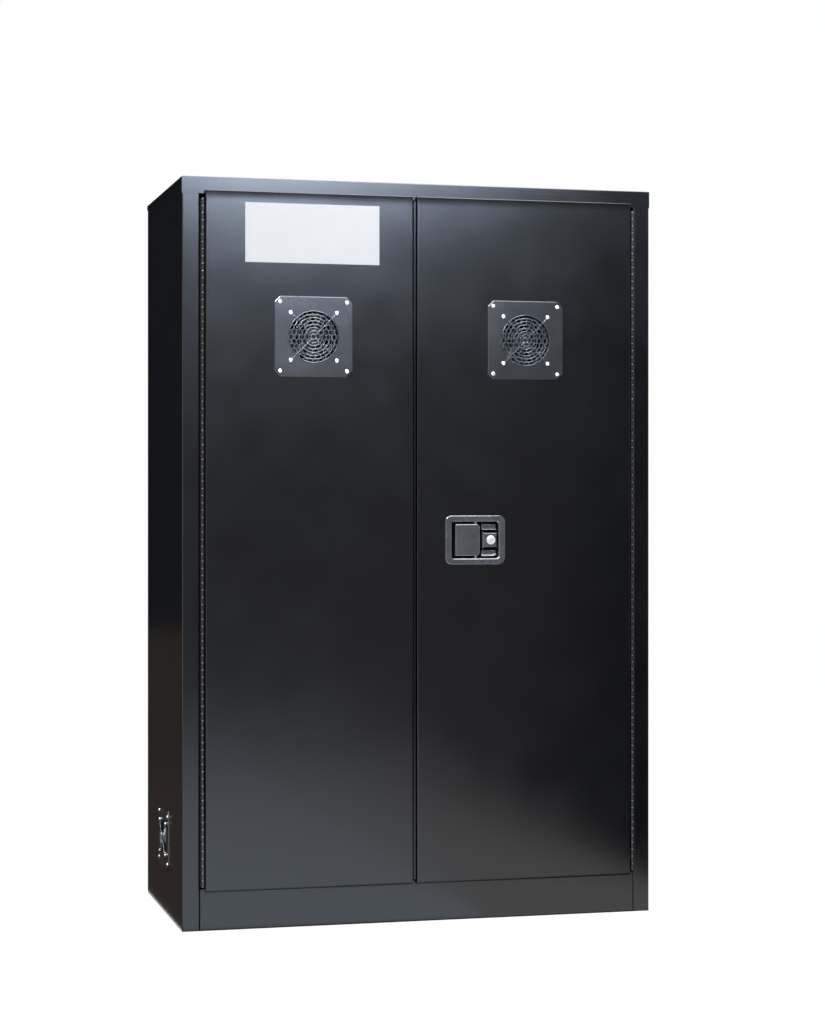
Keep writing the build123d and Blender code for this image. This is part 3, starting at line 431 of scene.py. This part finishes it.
def cover_plate(half, bore_r):
    """Plate with clipped corners, an outer edge rounded in a quarter circle, and a round opening."""
    angle = square_angles(half, plate_clip)
    rounding = [(clipped_square(angle, half - plate_edge * (1 - cos(a)), plate_clip),
                 plate_t - plate_edge * (1 - sin(a))) for a in np.linspace(0, pi / 2, 5)]
    return ringed(angle, [(clipped_square(angle, half, plate_clip), 0), *rounding,
                          (bore_r + 0.5, plate_t), (bore_r, plate_t - 0.5), (bore_r, 0)])


def screw_head(radius=4.4, height=2.2):
    """Pan head with a cross recess: a dome, h (1 - 0.75 (r / R)^4), less a cross that fades outwards. An arm
    of the cross is 0.8 mm to each side of its middle line and 0.8 mm deep, and reaches out to 2.4 mm."""
    arm_half, arm_fade, cross_r, cross_fade, cross_depth = 0.8, 0.4, 2.4, 0.5, 0.8
    ring = np.concatenate([np.linspace(0, 0.66, 9), [0.75, 0.85, 0.93, 0.98, 1.0]]) * radius
    angle = np.linspace(0, tau, 32, endpoint=False)
    x, y = ring[:, None] * np.cos(angle), ring[:, None] * np.sin(angle)
    dome = height * (1 - 0.75 * (np.hypot(x, y) / radius) ** 4)
    arm = np.minimum(np.abs(x), np.abs(y))
    reach = np.clip((cross_r - np.hypot(x, y)) / cross_fade, 0, 1)
    cross = np.clip((arm_half - arm) / arm_fade, 0, 1) * reach
    top = np.stack([x, y, dome - cross_depth * cross], -1)
    foot = top[-1:] * (1, 1, 0)
    return grid(np.concatenate([top, foot, foot * 0]), round_v=True)


def finger_guard(bore_r, screw_half):
    """Rings of wire, and four legs that cross them from eyes under the screws to the smallest ring. From
    its eye a leg climbs over the rings on a smooth step, 3 t^2 - 2 t^3, and so comes down at that ring."""
    edge_gap, climb, fall = 1.2, 6, 14
    low, high = plate_t + wire_r, plate_t + 3.2 * wire_r
    radii = np.arange(bore_r - edge_gap, ring_pitch / 2, -ring_pitch)
    rings = [wire(hoop(radius, low), wire_r, closed=True) for radius in radii]
    eye = wire(hoop(eye_r, low, 24), wire_r, closed=True)
    start, end = screw_half * sqrt(2) - eye_r, radii[-1] - 1.0
    along = np.linspace(0, 1, 24)
    rise = np.minimum(np.clip(along * climb, 0, 1), np.clip((1 - along) * fall, 0, 1))
    rise = rise * rise * (3 - 2 * rise)
    leg = np.stack([start + (end - start) * along, 0 * along, low + (high - low) * rise], -1)
    arms = [turned_by(joined([wire(leg, wire_r), placed(eye, (screw_half * sqrt(2), 0, 0))]),
                      pi / 4 + quarter * pi / 2) for quarter in range(4)]
    return rings + arms


def fan_case(size, depth, bore_r):
    """Square flanges front and back with clipped corners, a round barrel between them, and the motor
    base on four struts at the back, turned a little from the middle of each side."""
    half, clip, flange, wall = size / 2, size / 24, 3.5, 1.6
    base_r, base_t, bush_r, bush_t, strut_half, strut_t, strut_turn = 20, 4, 2.2, 3, 2, 3.2, 0.3
    angle = square_angles(half, clip)
    square = clipped_square(angle, half, clip)
    barrel = np.minimum(square, bore_r + wall)
    case = ringed(angle, [(bore_r, 0), (square, 0), (square, -flange), (barrel, -flange),
                          (barrel, flange - depth), (square, flange - depth), (square, -depth),
                          (bore_r, -depth)])
    base = grid(turned([(0, -depth), (base_r, -depth), (base_r, base_t - depth), (bush_r, base_t - depth),
                        (bush_r, bush_t - depth), (0, bush_t - depth)], 48), round_v=True)
    near, far = base_r - 1, bore_r + wall / 2
    strut = np.array([(near, -strut_half), (far, -strut_half), (far, strut_half), (near, strut_half)])
    return [case, base] + [turned_by(prism(strut, -depth, strut_t - depth), strut_turn + quarter * pi / 2)
                           for quarter in range(4)]


def fan_wheel(depth, bore_r, blades):
    """Cupped hub and swept blades. Along a blade, s from 0 to 1, the chord turns from 52 to 30 degrees
    from the wheel's plane, its middle sweeps forward by 0.3 s, and its section is a flat ellipse."""
    hub_r, hub_back, hub_front = 20.0, 5.0 - depth, -1.0
    hollow_r, hollow, edge_r, shaft_r, shaft_end = 12, 0.8, 1.5, 2, 0.2 - depth
    hub = grid(turned([(0, hub_front - hollow), (hollow_r, hub_front - hollow), (hollow_r + 1, hub_front),
                       (hub_r - edge_r, hub_front), (hub_r - 0.4, hub_front - 0.4),
                       (hub_r, hub_front - edge_r), (hub_r, hub_back), (shaft_r, hub_back),
                       (shaft_r, shaft_end), (0, shaft_end)], 64), round_v=True)
    s = np.linspace(0, 1, 9)[:, None]
    turn = np.linspace(0, tau, 20, endpoint=False)
    pitch = np.radians(52 - 22 * s)
    chord = (hub_front - hub_back - 3) / (2 * np.sin(pitch))
    across, thick = np.cos(turn) * chord, np.sin(turn) * (0.8 - 0.25 * s)
    root, tip = hub_r - 1, bore_r - 2.5
    radius = root + s * (tip - root)
    around = (across * np.cos(pitch) - thick * np.sin(pitch)) / radius + 0.3 * s
    height = (hub_front + hub_back) / 2 + (across * np.sin(pitch) + thick * np.cos(pitch)) * 0.92
    blade = grid(np.stack([radius * np.cos(around), radius * np.sin(around), height], -1),
                 round_v=True, capped=True)
    return [hub] + [turned_by(blade, index * tau / blades) for index in range(blades)]


def honeycomb_pad(reach, front, back, cell=12.25, foil_t=0.6):
    """Six-sided foil tubes side by side, point up, out to a reach from the middle. Each tube is a ring
    between two hexagons, and neighbours stand a hair apart as two layers of foil do."""
    outer, inner = (cell - 0.05) / sqrt(3), (cell - 2 * foil_t) / sqrt(3)
    angle = np.arange(6) * pi / 3 + pi / 6
    tube = ringed(angle, [(outer, back), (outer, front), (inner, front), (inner, back)])
    span = np.arange(-6, 7)
    column, row = np.meshgrid(span, span)
    x, y = (column + (row % 2) / 2) * cell, row * cell * sqrt(3) / 2
    keep = np.hypot(x, y) < reach
    return [placed(tube, (a, b, 0)) for a, b in zip(x[keep].tolist(), y[keep].tolist())]


door_fan = {"size": 120.0, "depth": 25.4, "bore_r": 58.0, "plate_half": 88.9, "plate_screw": 76.2,
            "guard_screw": 52.5, "blades": 7, "pad_t": 11.4}
side_fan = {"size": 80.0, "depth": 38.0, "bore_r": 38.0, "plate_half": 66.5, "plate_screw": 54.0,
            "guard_screw": 35.75, "blades": 5, "pad_t": 0.0}
pad_front, pad_gap, pad_margin, collar_back, collar_corner = -7.0, 0.2, 5.0, -6.8, 0.1
for name, fan_name, body, origin, axes, unit in (
        ("left_fan", "left_fan", "left_door", (-252.15, -240.5, 1303.0), facing_front, door_fan),
        ("right_fan", "right_fan", "right_door", (240.65, -240.5, 1303.0), facing_front, door_fan),
        ("vent", "vent_fan", "cabinet", (-544.8, 0.0, 170.0), facing_left, side_fan)):
    bore_r, depth, pad_t = unit["bore_r"], unit["depth"], unit["pad_t"]
    make_piece(f"{name}_cover_plate", [placed(cover_plate(unit["plate_half"], bore_r), origin, axes)],
               plate_paint, body, "dark_plate", f"{name}_plate")
    guard = joined(finger_guard(bore_r, unit["guard_screw"]))
    make_piece(f"{name}_finger_guard", [placed(guard, origin, axes)], wire_finish, body, "guard_wire",
               f"{name}_guard")
    screw_places = ((unit["plate_screw"], plate_t), (unit["guard_screw"], plate_t + 2 * wire_r))
    heads = [placed(screw_head(), (x * half_pitch, y * half_pitch, seat))
             for half_pitch, seat in screw_places for x in (-1, 1) for y in (-1, 1)]
    make_piece(f"{name}_pan_head_screws", [placed(joined(heads), origin, axes)], bright_zinc, body,
               "zinc_plated_steel", f"{name}_screws")
    seat = np.array(origin) - pad_t * axes[2]
    make_piece(f"{fan_name}_case", [placed(joined(fan_case(unit["size"], depth, bore_r)), seat, axes)],
               fan_plastic, body, "fan_plastic", f"{fan_name}_frame")
    make_piece(f"{fan_name}_wheel", [placed(joined(fan_wheel(depth, bore_r, unit["blades"])), seat, axes)],
               fan_plastic, f"{fan_name}_rotor", "fan_plastic", f"{fan_name}_rotor")
    if pad_t:
        half = unit["size"] / 2
        pad = honeycomb_pad(half + pad_margin, pad_front, pad_gap - pad_t)
        make_piece(f"{name}_honeycomb_pad", [placed(joined(pad), origin, axes)], foil, body,
                   "honeycomb_foil", f"{name[:-4]}_honeycomb")
        angle = square_angles(half, collar_corner)
        square = clipped_square(angle, half, collar_corner)
        collar = ringed(angle, [(square, 0), (bore_r, 0), (bore_r, collar_back), (square, collar_back)])
        make_piece(f"{name}_pad_collar", [placed(collar, origin, axes)], fan_plastic, body, "fan_plastic")

# ---- Paddle latch --------------------------------------------------------------------------------
# The latch is a steel dish pressed into a flange, let into the right door, with a paddle hinged on a pin
# across it, two stepped ledges, and a raised neck that carries the lock.
latch_at = (122.0, -240.5, 853.0)
dish_floor, dish_back, flange_top = -18.0, -19.5, 2.0
lip_r, floor_r, rim_r, draft = 3.0, 2.5, 1.9, 0.3
ledge_x, ledge_z, ledge_top, ledge_h, ledge_lean = 34.5, 29.45, -8.0, 12.5, 1.6
paddle_pin_x, paddle_pin_depth, crank_x = 3.5, -7.5, -1.3
lock_at, lock_r, plug_r = (37.3, 0, 0), 10.3, 7.0

# Sprayed grey-black enamel under a clear lacquer, a shade lighter than the fan plates and smoother: its
# rounded edges catch sharp bright glints.
latch_paint, tree, shader, place = new_finish(
    "lacquered_grey_black_enamel_on_steel",
    {"IOR": 1.9, "Coat Weight": 1.0, "Coat Roughness": 0.14, "Coat IOR": 1.75})
surface(tree, shader, place, ("#43474e", "#4b4f57"), 35, (0.25, 0.29), 2.5, 0.006)

# Painted shade: a matt, chalky, near-black paint on the dish's walls and floor below a set depth, in place of
# the shade that falls into the recess. The lacquered enamel covers the rest of the dish.
painted_recess_shade, tree, shader, place = new_finish("painted_shade_black_in_latch_recess", {"IOR": 1.3})
surface(tree, shader, place, ("#060607", "#0a0a0b"), 10, (0.8, 0.9), 1.5, 0.02)
# Depth below which the dish's faces take the painted shade.
painted_shade_level = -9.7

recess, flange = rounded_rect(111, 82, 6), rounded_rect(140, 110, 14)
tub = rounded_rect(112.5, 83.5, 6.8)
turn = np.linspace(0, pi / 2, 5)
dish_outlines = [*[inset(recess, draft + floor_r * (1 - sin(a))) for a in turn], inset(recess, draft / 2),
                 *[inset(recess, -lip_r * (1 - cos(a))) for a in turn],
                 *[inset(flange, rim_r * (1 - sin(a))) for a in turn], flange, tub, tub]
dish_heights = [*[dish_floor + floor_r * (1 - cos(a)) for a in turn], painted_shade_level + 1,
                *[flange_top - lip_r * (1 - sin(a)) for a in turn],
                *[flange_top - rim_r * (1 - cos(a)) for a in turn], 0.0, 0.0, dish_back]
dish = grid(stacked(dish_outlines, dish_heights), round_v=True, capped=True)
neck = block([(17.5, -20.2), (23.5, -16.2), (51.5, -16.2), (51.5, 16.2), (23.5, 16.2), (17.5, 20.2)],
             dish_floor + 0.1, -0.5, 3.2, 6)
stud = grid(turned([(0, -27.2), (3.6, -27.2), (4, -26.8), (4, dish_back + 0.5), (0, dish_back + 0.5)], 32),
            round_v=True)


def ledge(side):
    """Low step whose face leans back, with a lip along its lower edge that flares out and faces up. The
    lip is one outline, of height and depth, carried along the edge; below the lock its end turns up."""
    step, faces = block(rounded_rect(34, ledge_h, 1.5), dish_floor + 0.1, ledge_top, 0.8)
    lean = ledge_lean * (0.5 - step[:, 1] / ledge_h) * (step[:, 2] > ledge_top - 1.5)
    step = step - np.stack([0 * lean, 0 * lean, lean], -1)
    lip = np.array([(-2.6, -1.4), (-3.6, -0.9), (-4.8, 0.1), (-5.8, 1.1), (-6.5, 1.3), (-6.8, 0.9),
                    (-6.8, -9.0), (-3.0, -9.0)])
    edge_x = np.array([-17.0, 8.5, 12.5, 17.0])
    edge_rise = np.array([0, 0, 0.7, 3.4]) if side < 0 else 0 * edge_x
    lip = np.stack([np.stack([x + 0 * lip[:, 0], lip[:, 0] + rise, lip[:, 1] + ledge_top], -1)
                    for x, rise in zip(edge_x, edge_rise)])
    carried = grid(lip, round_v=True, capped=True)
    return placed(joined([(step, faces), carried]), (ledge_x, side * ledge_z, 0))


lock_hole = grid(turned([(lock_r + 0.02, -25), (lock_r + 0.02, 5)], 64), round_v=True, capped=True)
arm_slot = prism(rounded_rect(18.2, 10, 1, (-1.2, 16)), -25, -15)
latch_dish = make_piece(
    "latch_dish", [placed(joined([dish, ledge(1), ledge(-1), neck, placed(stud, (crank_x, 0, 0))]),
                         latch_at, facing_front)],
    latch_paint, "right_door", "dark_plate", "latch_pan",
    holes=[placed(joined([placed(lock_hole, lock_at), arm_slot]), latch_at, facing_front)])
# Every face of the dish deeper than that takes the painted shade as its second material.
centres = np.empty(3 * len(latch_dish.data.polygons))
latch_dish.data.polygons.foreach_get("center", centres)
in_painted_shade = centres[1::3] > (latch_at[1] - painted_shade_level) * mm
latch_dish.data.materials.append(painted_recess_shade)
latch_dish.data.polygons.foreach_set("material_index", in_painted_shade.astype(np.int32))

# The paddle is a plate with a rolled edge, a lip down its free side, a barrel that turns on the pin, and
# an arm that reaches through the dish.
upright = np.array([(1, 0, 0), (0, 0, -1), (0, 1, 0)])
bore, barrel_r, barrel_half = 2.55, 4.5, 27
barrel = grid(turned([(bore, -barrel_half), (barrel_r, -barrel_half), (barrel_r, barrel_half),
                      (bore, barrel_half)], 32), True, True)
bracket = np.array([(-4.5, -6.2), (4.5, -6.2), (4.5, -3.4), (3.6, -2.9), (-3.6, -2.9), (-4.5, -3.4)])
paddle = [
    block(rounded_rect(58, 72, (8, 3, 3, 8), (-17.5, 0)), -2.5, 0.5, 2.8, 6),
    block(rounded_rect(3, 70, 1, (-45, 0)), -6.5, -1.5, 0.5),
    placed(joined([barrel, prism(bracket, -barrel_half, barrel_half)]), (paddle_pin_x, 0, paddle_pin_depth),
           upright),
    block(rounded_rect(4, 8, 0.6, (paddle_pin_x, 16)), -24, -10.5, 0.5)]
make_piece("latch_paddle_handle", [placed(joined(paddle), latch_at, facing_front)], latch_paint,
           "latch_paddle", "dark_plate", "latch_paddle")
finish_nodes(zinc, "latch_pivot_pin")

# ---- Lock ----------------------------------------------------------------------------------------
# A cam lock, turned and cast in zinc and chromed: a bezel is pressed into the neck, and in it turns a plug
# with a keyway in front and a cam behind the dish.

# Satin chrome plate over a turned zinc casting. It is frosted, so that part of its light comes back
# diffuse, and its faces keep fine rings from the lathe, drawn at 2.4 mm in place of 0.2 mm.
chrome, tree, shader, place = new_finish("satin_chrome_on_turned_zinc", {"Metallic": 0.55})
lathe_pitch = 2.4 * mm
skin = surface(tree, shader, place, ("#eff0f3", "#f5f6f8"), 8, (0.37, 0.43), 0.8, 0.002)
lock_x, lock_z = latch_at[0] + lock_at[0], latch_at[2]
middle = add_node(tree, "Mapping", {"Location": (-lock_x * mm, 0, -lock_z * mm), "Scale": (1, 0, 1)},
                  {0: place})
lathe = add_node(tree, "TexWave", {"wave_type": "RINGS", "rings_direction": "SPHERICAL",
                                   "Scale": tau / (20 * lathe_pitch), "Distortion": 0.2},
                 {0: middle.outputs[0]})
rings = add_node(tree, "Bump", {"Strength": 0.5, "Distance": 0.02 * mm}, {"Height": lathe.outputs[0]})
tree.links.new(rings.outputs[0], skin.inputs["Normal"])

bezel_back, plug_back = -21.1, -21.4
bezel = grid(turned([(7.05, bezel_back), (7.05, 0.7), (7.35, 1.0), (8.1, 1.0), (8.3, 0.7), (8.5, 1.0),
                     (9.4, 1.0), (9.95, 0.8), (lock_r, 0.3), (lock_r, bezel_back)], 64), True, True)
make_piece("lock_bezel", [placed(placed(bezel, lock_at), latch_at, facing_front)], chrome,
           "right_door", "lock_chrome", "lock_cylinder")
plug = grid(turned([(0, 1.4), (6.2, 1.4), (6.7, 1.25), (plug_r, 0.9), (plug_r, plug_back), (0, plug_back)],
                   64), round_v=True)
cam = block(rounded_rect(8, 19, 2, (0, -5.5)), -22.8, plug_back, 0.3)
keyway = prism(rounded_rect(1.7, 8, 0.4), -1.6, 3)
make_piece("lock_core", [placed(placed(joined([plug, cam]), lock_at), latch_at, facing_front)],
           chrome, "lock_plug", "lock_chrome", "lock_plug",
           holes=[placed(placed(keyway, lock_at), latch_at, facing_front)])

# ---- Latch works ---------------------------------------------------------------------------------
# Behind the dish a punched crank slides two flat rods up and down and a bolt across, in guide blocks
# spot-welded to the inner tray. They are cut from zinc-plated strip with slightly rolled edges.
strip_edge = 0.4
for name, node, body in (("crank_plate", "latch_crank", "latch_crank"),
                         ("upper_latch_rod", "upper_rod", "upper_rod"),
                         ("lower_latch_rod", "lower_rod", "lower_rod"),
                         ("cross_bolt", "centre_bolt", "centre_bolt"),
                         ("guide_blocks", "rod_guides", "right_door")):
    folded(name, node, zinc, body, strip_edge, cut_edge=strip_edge)

# ---- Shelves -------------------------------------------------------------------------------------
# Four slotted channels of zinc-plated steel are screwed to the side walls. Clips hooked in their slots
# carry three shelves, which are folded and sprayed like the cabinet.
standard_low, standard_high, slot_pitch, slot_h, unslotted = 59.2, 1593.0, 12.7, 3.2, 12.0
wall_x, standard_y, standard_wall = 506.8, 140.0, 1.5
slot_z = np.arange(standard_low + unslotted, standard_high - unslotted - slot_pitch, slot_pitch)
levels = [standard_low, *np.stack([slot_z - slot_h / 2, slot_z + slot_h / 2], -1).ravel(), standard_high]
channel = np.array([(0.75, -9.25), (5.25, -9.25), (5.25, -6), (5.25, 6), (5.25, 9.25), (0.75, 9.25)])
vertices, faces = grid(stacked([channel] * len(levels), levels))
# The middle face of every other band between two levels is left out: that is a slot.
is_slot = np.zeros((len(levels) - 1, len(channel) - 1), bool)
is_slot[1::2, 2] = True
channel = vertices, [face for face, gone in zip(faces, is_slot.ravel()) if not gone]
for sign, side in ((-1, "left"), (1, "right")):
    for y, end in ((-standard_y, "front"), (standard_y, "rear")):
        axes = np.array([(-sign, 0, 0), (0, -sign, 0), (0, 0, 1)])
        nodes = ("shelf_standards",) if (side, end) == ("left", "front") else ()
        standard = make_piece(f"slotted_standard_{side}_{end}",
                              [placed(channel, (sign * wall_x, y, 0), axes)],
                              zinc, "cabinet", "zinc_plated_steel", *nodes)
        wall = standard.modifiers.new("wall", "SOLIDIFY")
        wall.thickness = standard_wall * mm
        wall.offset = 0.0
        standard.modifiers.move(1, 0)
folded("shelf_hook_clips", "shelf_clips", zinc, "cabinet", strip_edge,
       cut_edge=strip_edge)
for tier in ("lower", "middle", "upper"):
    folded(f"folded_shelf_{tier}", f"shelf_{tier}", powder_coat, "cabinet", side_fold)

# ---- Power strips --------------------------------------------------------------------------------
# Above each shelf a strip of six receptacles is screwed to the rear wall. Its housing and the receptacles'
# faces are moulded in dark grey plastic, and a red rocker in a pocket at its right end switches it.
along_x = np.array([(0, 1, 0), (0, 0, 1), (1, 0, 0)])
strip_front, strip_half, strip_d, strip_h, strip_corner = 148.0, 300.0, 42.0, 45.0, 6.0
outlet_first, outlet_pitch, outlet_count, outlet_depth, cut_high = -261.0, 78.0, 6, 9, 3
face_size, slot_size, slot_x, slot_up, ground_r, ground_down = (34, 28), (1.9, 8), 6.35, 3, 2.4, 7.5
rocker_x, pocket_size, pocket_depth, rocker_fold, rocker_wall = 261.0, (20.8, 26.4), 12, 0.8, 2.0
rocker_bend = 10.0      # degrees: less than the bend between a rocker's two halves, so that it stays sharp

# ABS, moulded dark grey: a low, even gloss from a spark-eroded mould, whose grain is drawn at 1.5 mm.
abs_grey, tree, shader, place = new_finish("injection_moulded_dark_grey_abs", {"IOR": 1.53})
surface(tree, shader, place, ("#36383c", "#3c3e42"), 60, (0.36, 0.44), 1.5, 0.012)
# Polycarbonate, moulded red: glossier than the housing, and only faintly uneven from its mould.
rocker_red, tree, shader, place = new_finish("injection_moulded_red_polycarbonate", {"IOR": 1.58})
surface(tree, shader, place, ("#ad1e18", "#b8241d"), 14, (0.22, 0.28), 3.0, 0.006)

strip_outline = rounded_rect(strip_d, strip_h, (1, strip_corner, strip_corner, 1),
                             (strip_front + strip_d / 2, 0))
ends = [(-strip_half, 0.9), (0.3 - strip_half, 0.3), (1.2 - strip_half, 0),
        (strip_half - 1.2, 0), (strip_half - 0.3, 0.3), (strip_half, 0.9)]
housing = grid(stacked([inset(strip_outline, amount) for x, amount in ends], [x for x, amount in ends]),
               round_v=True, capped=True)
outlet_x = outlet_first + outlet_pitch * np.arange(outlet_count)
face = block(rounded_rect(*face_size, 3), -0.5, 1.2, 0.6)
outlet = [prism(rounded_rect(*slot_size, 0.3, (x, slot_up)), -outlet_depth, cut_high)
          for x in (-slot_x, slot_x)]
ground = grid(turned([(ground_r, -outlet_depth), (ground_r, cut_high)], 24), round_v=True, capped=True)
outlet += [placed(ground, (0, -ground_down, 0))]
pocket = prism(rounded_rect(*pocket_size, 0.5, (rocker_x, 0)), -pocket_depth, cut_high)
for tier, height in (("lower", 683.1), ("middle", 1076.55), ("upper", 1470.0)):
    origin = (0, strip_front, height)
    faces, outlets = [[placed(placed(shape, (x, 0, 0)), origin, facing_front) for x in outlet_x]
                      for shape in (face, joined(outlet))]
    make_piece(f"receptacle_strip_{tier}", [placed(housing, (0, 0, height), along_x)], abs_grey, "cabinet",
               "strip_plastic", f"power_strip_{tier}", holes=[*outlets, placed(pocket, origin, facing_front)])
    make_piece(f"receptacle_faces_{tier}", faces, abs_grey, "cabinet", "strip_plastic", holes=outlets)
    rocker = folded(f"switch_rocker_{tier}", f"rocker_{tier}", rocker_red, f"rocker_{tier}",
                    rocker_fold, rocker_wall)
    rocker.data.set_sharp_from_angle(angle=radians(rocker_bend))

# ---- Cable grommet -------------------------------------------------------------------------------
# A moulded ring of black rubber, with a groove round its middle, snaps into a hole in the back panel and
# keeps the sheet's edge off the mains lead.
grommet_at = (-440.0, 225.5, 110.0)
facing_back = np.array([(-1, 0, 0), (0, 0, 1), (0, 1, 0)])

# Synthetic rubber, moulded: black going grey where it has bloomed, and matt all over.
rubber, tree, shader, place = new_finish("compression_moulded_black_rubber", {"IOR": 1.52})
surface(tree, shader, place, ("#101010", "#191919"), 7, (0.62, 0.75), 1.2, 0.03)

lip = [(6, -2.6), (6, 2.6), (12.4, 2.6), (13.6, 2.1), (14, 1.4), (14, 0.6), (10, 0.6), (10, -0.6),
       (14, -0.6), (14, -1.4), (13.6, -2.1), (12.4, -2.6)]
make_piece("mains_grommet", [placed(grid(turned(lip, 48), True, True), grommet_at, facing_back)],
           rubber, "cabinet", "grommet_rubber", "cable_grommet")

# ---- Studio --------------------------------------------------------------------------------------
# Pale floor and white surroundings. The front mirrors a softbox across its upper left, a grey card between
# it and the camera, a bluish one on the floor, and black beside them; the left side mirrors dark cards.
# The cards and the lamps for the sheen give no diffuse light.
scene = bpy.context.scene
scene.view_settings.view_transform = "Standard"


def seen_share(tree, unseen, seen):
    """Value for rays from the camera, glossy rays and transmitted rays, and another for all the rest."""
    ray = add_node(tree, "LightPath", {}, {}).outputs
    either = add_node(tree, "Math", {"operation": "ADD"}, {0: ray["Is Camera Ray"], 1: ray["Is Glossy Ray"]})
    either = add_node(tree, "Math", {"operation": "ADD", "use_clamp": True},
                      {0: either.outputs[0], 1: ray["Is Transmission Ray"]})
    return add_node(tree, "MapRange", {"To Min": unseen, "To Max": seen}, {0: either.outputs[0]}).outputs[0]


world = bpy.data.worlds.new("studio_dome")
scene.world = world
world.use_nodes = True
tree = world.node_tree
tree.nodes.clear()
dome = add_node(tree, "Background", {"Color": linear("#ffffff")}, {"Strength": seen_share(tree, 0.28, 1.0)})
add_node(tree, "OutputWorld", {}, {"Surface": dome.outputs[0]})

pale, tree, shader = new_finish("pale_floor", {"Base Color": linear("#f2f2f2"), "Roughness": 0.9})[:3]
glow = add_node(tree, "Emission", {"Color": linear("#ffffff"), "Strength": 1.12}, {})
mixed = add_node(tree, "MixShader", {},
                 {0: seen_share(tree, 0.0, 0.86), 1: shader.outputs[0], 2: glow.outputs[0]})
tree.links.new(mixed.outputs[0], tree.nodes["Material Output"].inputs["Surface"])


def stage_sheet(name, corners, material):
    """Flat sheet through four corners in metres, which is no part of the object."""
    mesh = bpy.data.meshes.new(name)
    mesh.from_pydata(corners, [], [(0, 1, 2, 3)])
    mesh.materials.append(material)
    sheet = bpy.data.objects.new(name, mesh)
    scene.collection.objects.link(sheet)
    return sheet


def upright_card(x0, x1, y, z0, z1):
    """Corners of a sheet that stands at one y."""
    return [(x0, y, z0), (x1, y, z0), (x1, y, z1), (x0, y, z1)]


def lying_card(x0, x1, y0, y1, z=0.0015):
    """Corners of a sheet that lies at one z."""
    return [(x0, y0, z), (x1, y0, z), (x1, y1, z), (x0, y1, z)]


floor_reach = 12.0
stage_sheet("floor", lying_card(-floor_reach, floor_reach, -floor_reach, floor_reach, 0), pale)
for name, glow, corners in (
        ("card_front", (0.165, 0.16, 0.175), upright_card(-1.6, 1.55, -3.2, 0, 3.8)),
        ("card_front_right", (0, 0, 0), upright_card(1.55, 4.5, -3.2, 0, 3.8)),
        ("card_floor_left", (1.25, 1.42, 1.65), lying_card(-1.6, 0.15, -3.19, -0.25)),
        ("card_floor_right", (0, 0, 0), lying_card(0.7, 4.5, -3.19, -0.25)),
        ("card_left", (0.013, 0.0144, 0.0194), upright_card(-4.5, -0.5, 2.2, 0.5, 4.0)),
        ("card_left_low", (0.052, 0.042, 0.034), upright_card(-4.5, -0.5, 2.2, 0, 0.5)),
        ("card_ground", (0.062, 0.049, 0.040), lying_card(-4.5, -0.548, -0.26, 2.2))):
    felt = new_finish(name, {"Base Color": (0, 0, 0, 1), "Roughness": 1.0, "Specular IOR Level": 0.0,
                             "Emission Strength": 1.0, "Emission Color": (*glow, 1)})[0]
    card = stage_sheet(name, corners, felt)
    card.visible_camera = False
    card.visible_diffuse = False
    card.visible_shadow = False
    card.visible_transmission = False


def soft_light(name, centre, target, size, power, turn=0):
    """Area light at a point, turned towards another and round its own axis, sized in metres."""
    lamp = bpy.data.lights.new(name, "AREA")
    lamp.shape = "RECTANGLE"
    lamp.size, lamp.size_y = size
    lamp.energy = power
    light = bpy.data.objects.new(name, lamp)
    light.location = centre
    aim = np.array(target, float) - np.array(centre, float)
    light.rotation_euler = (atan2(sqrt(aim[0] ** 2 + aim[1] ** 2), -aim[2]), 0, atan2(aim[0], -aim[1]) + pi)
    light.rotation_euler.rotate_axis("Z", radians(turn))
    scene.collection.objects.link(light)
    light.visible_camera = False
    return light


softbox = soft_light("softbox", (0.42, -3.0, 2.49), (-0.1, -0.24, 1.4), (1.6, 0.8), 80, 13)
softbox.data.color = (0.68, 0.8, 1.0)
overhead = soft_light("overhead", (-0.25, -0.9, 3.3), (-0.25, -0.8, 1.0), (2.9, 2.6), 181)
key = soft_light("key_left", (-1.6, -1.6, 3.1), (0, -0.24, 1.2), (1.2, 0.8), 210)
for lamp in (softbox, overhead, key):
    lamp.visible_diffuse = False
fill = soft_light("front_fill", (2.3, -3.5, 3.7), (0, 0, 0.9), (1.5, 1.3), 140)
fill.visible_glossy = False

# The camera stands left of the cabinet, at about the height of the latch, and turns partly towards it. The
# shift brings the cabinet to the middle of the frame.
camera_at, camera_yaw = (-1.335, -4.50, 0.94), -12.1
camera = bpy.data.cameras.new("camera")
camera.lens = 69.96
camera.sensor_width = 36
camera.shift_x = 0.17
camera.shift_y = -0.0105
eye = bpy.data.objects.new("camera", camera)
eye.location = camera_at
eye.rotation_euler = (radians(90), 0, radians(camera_yaw))
scene.collection.objects.link(eye)
scene.camera = eye
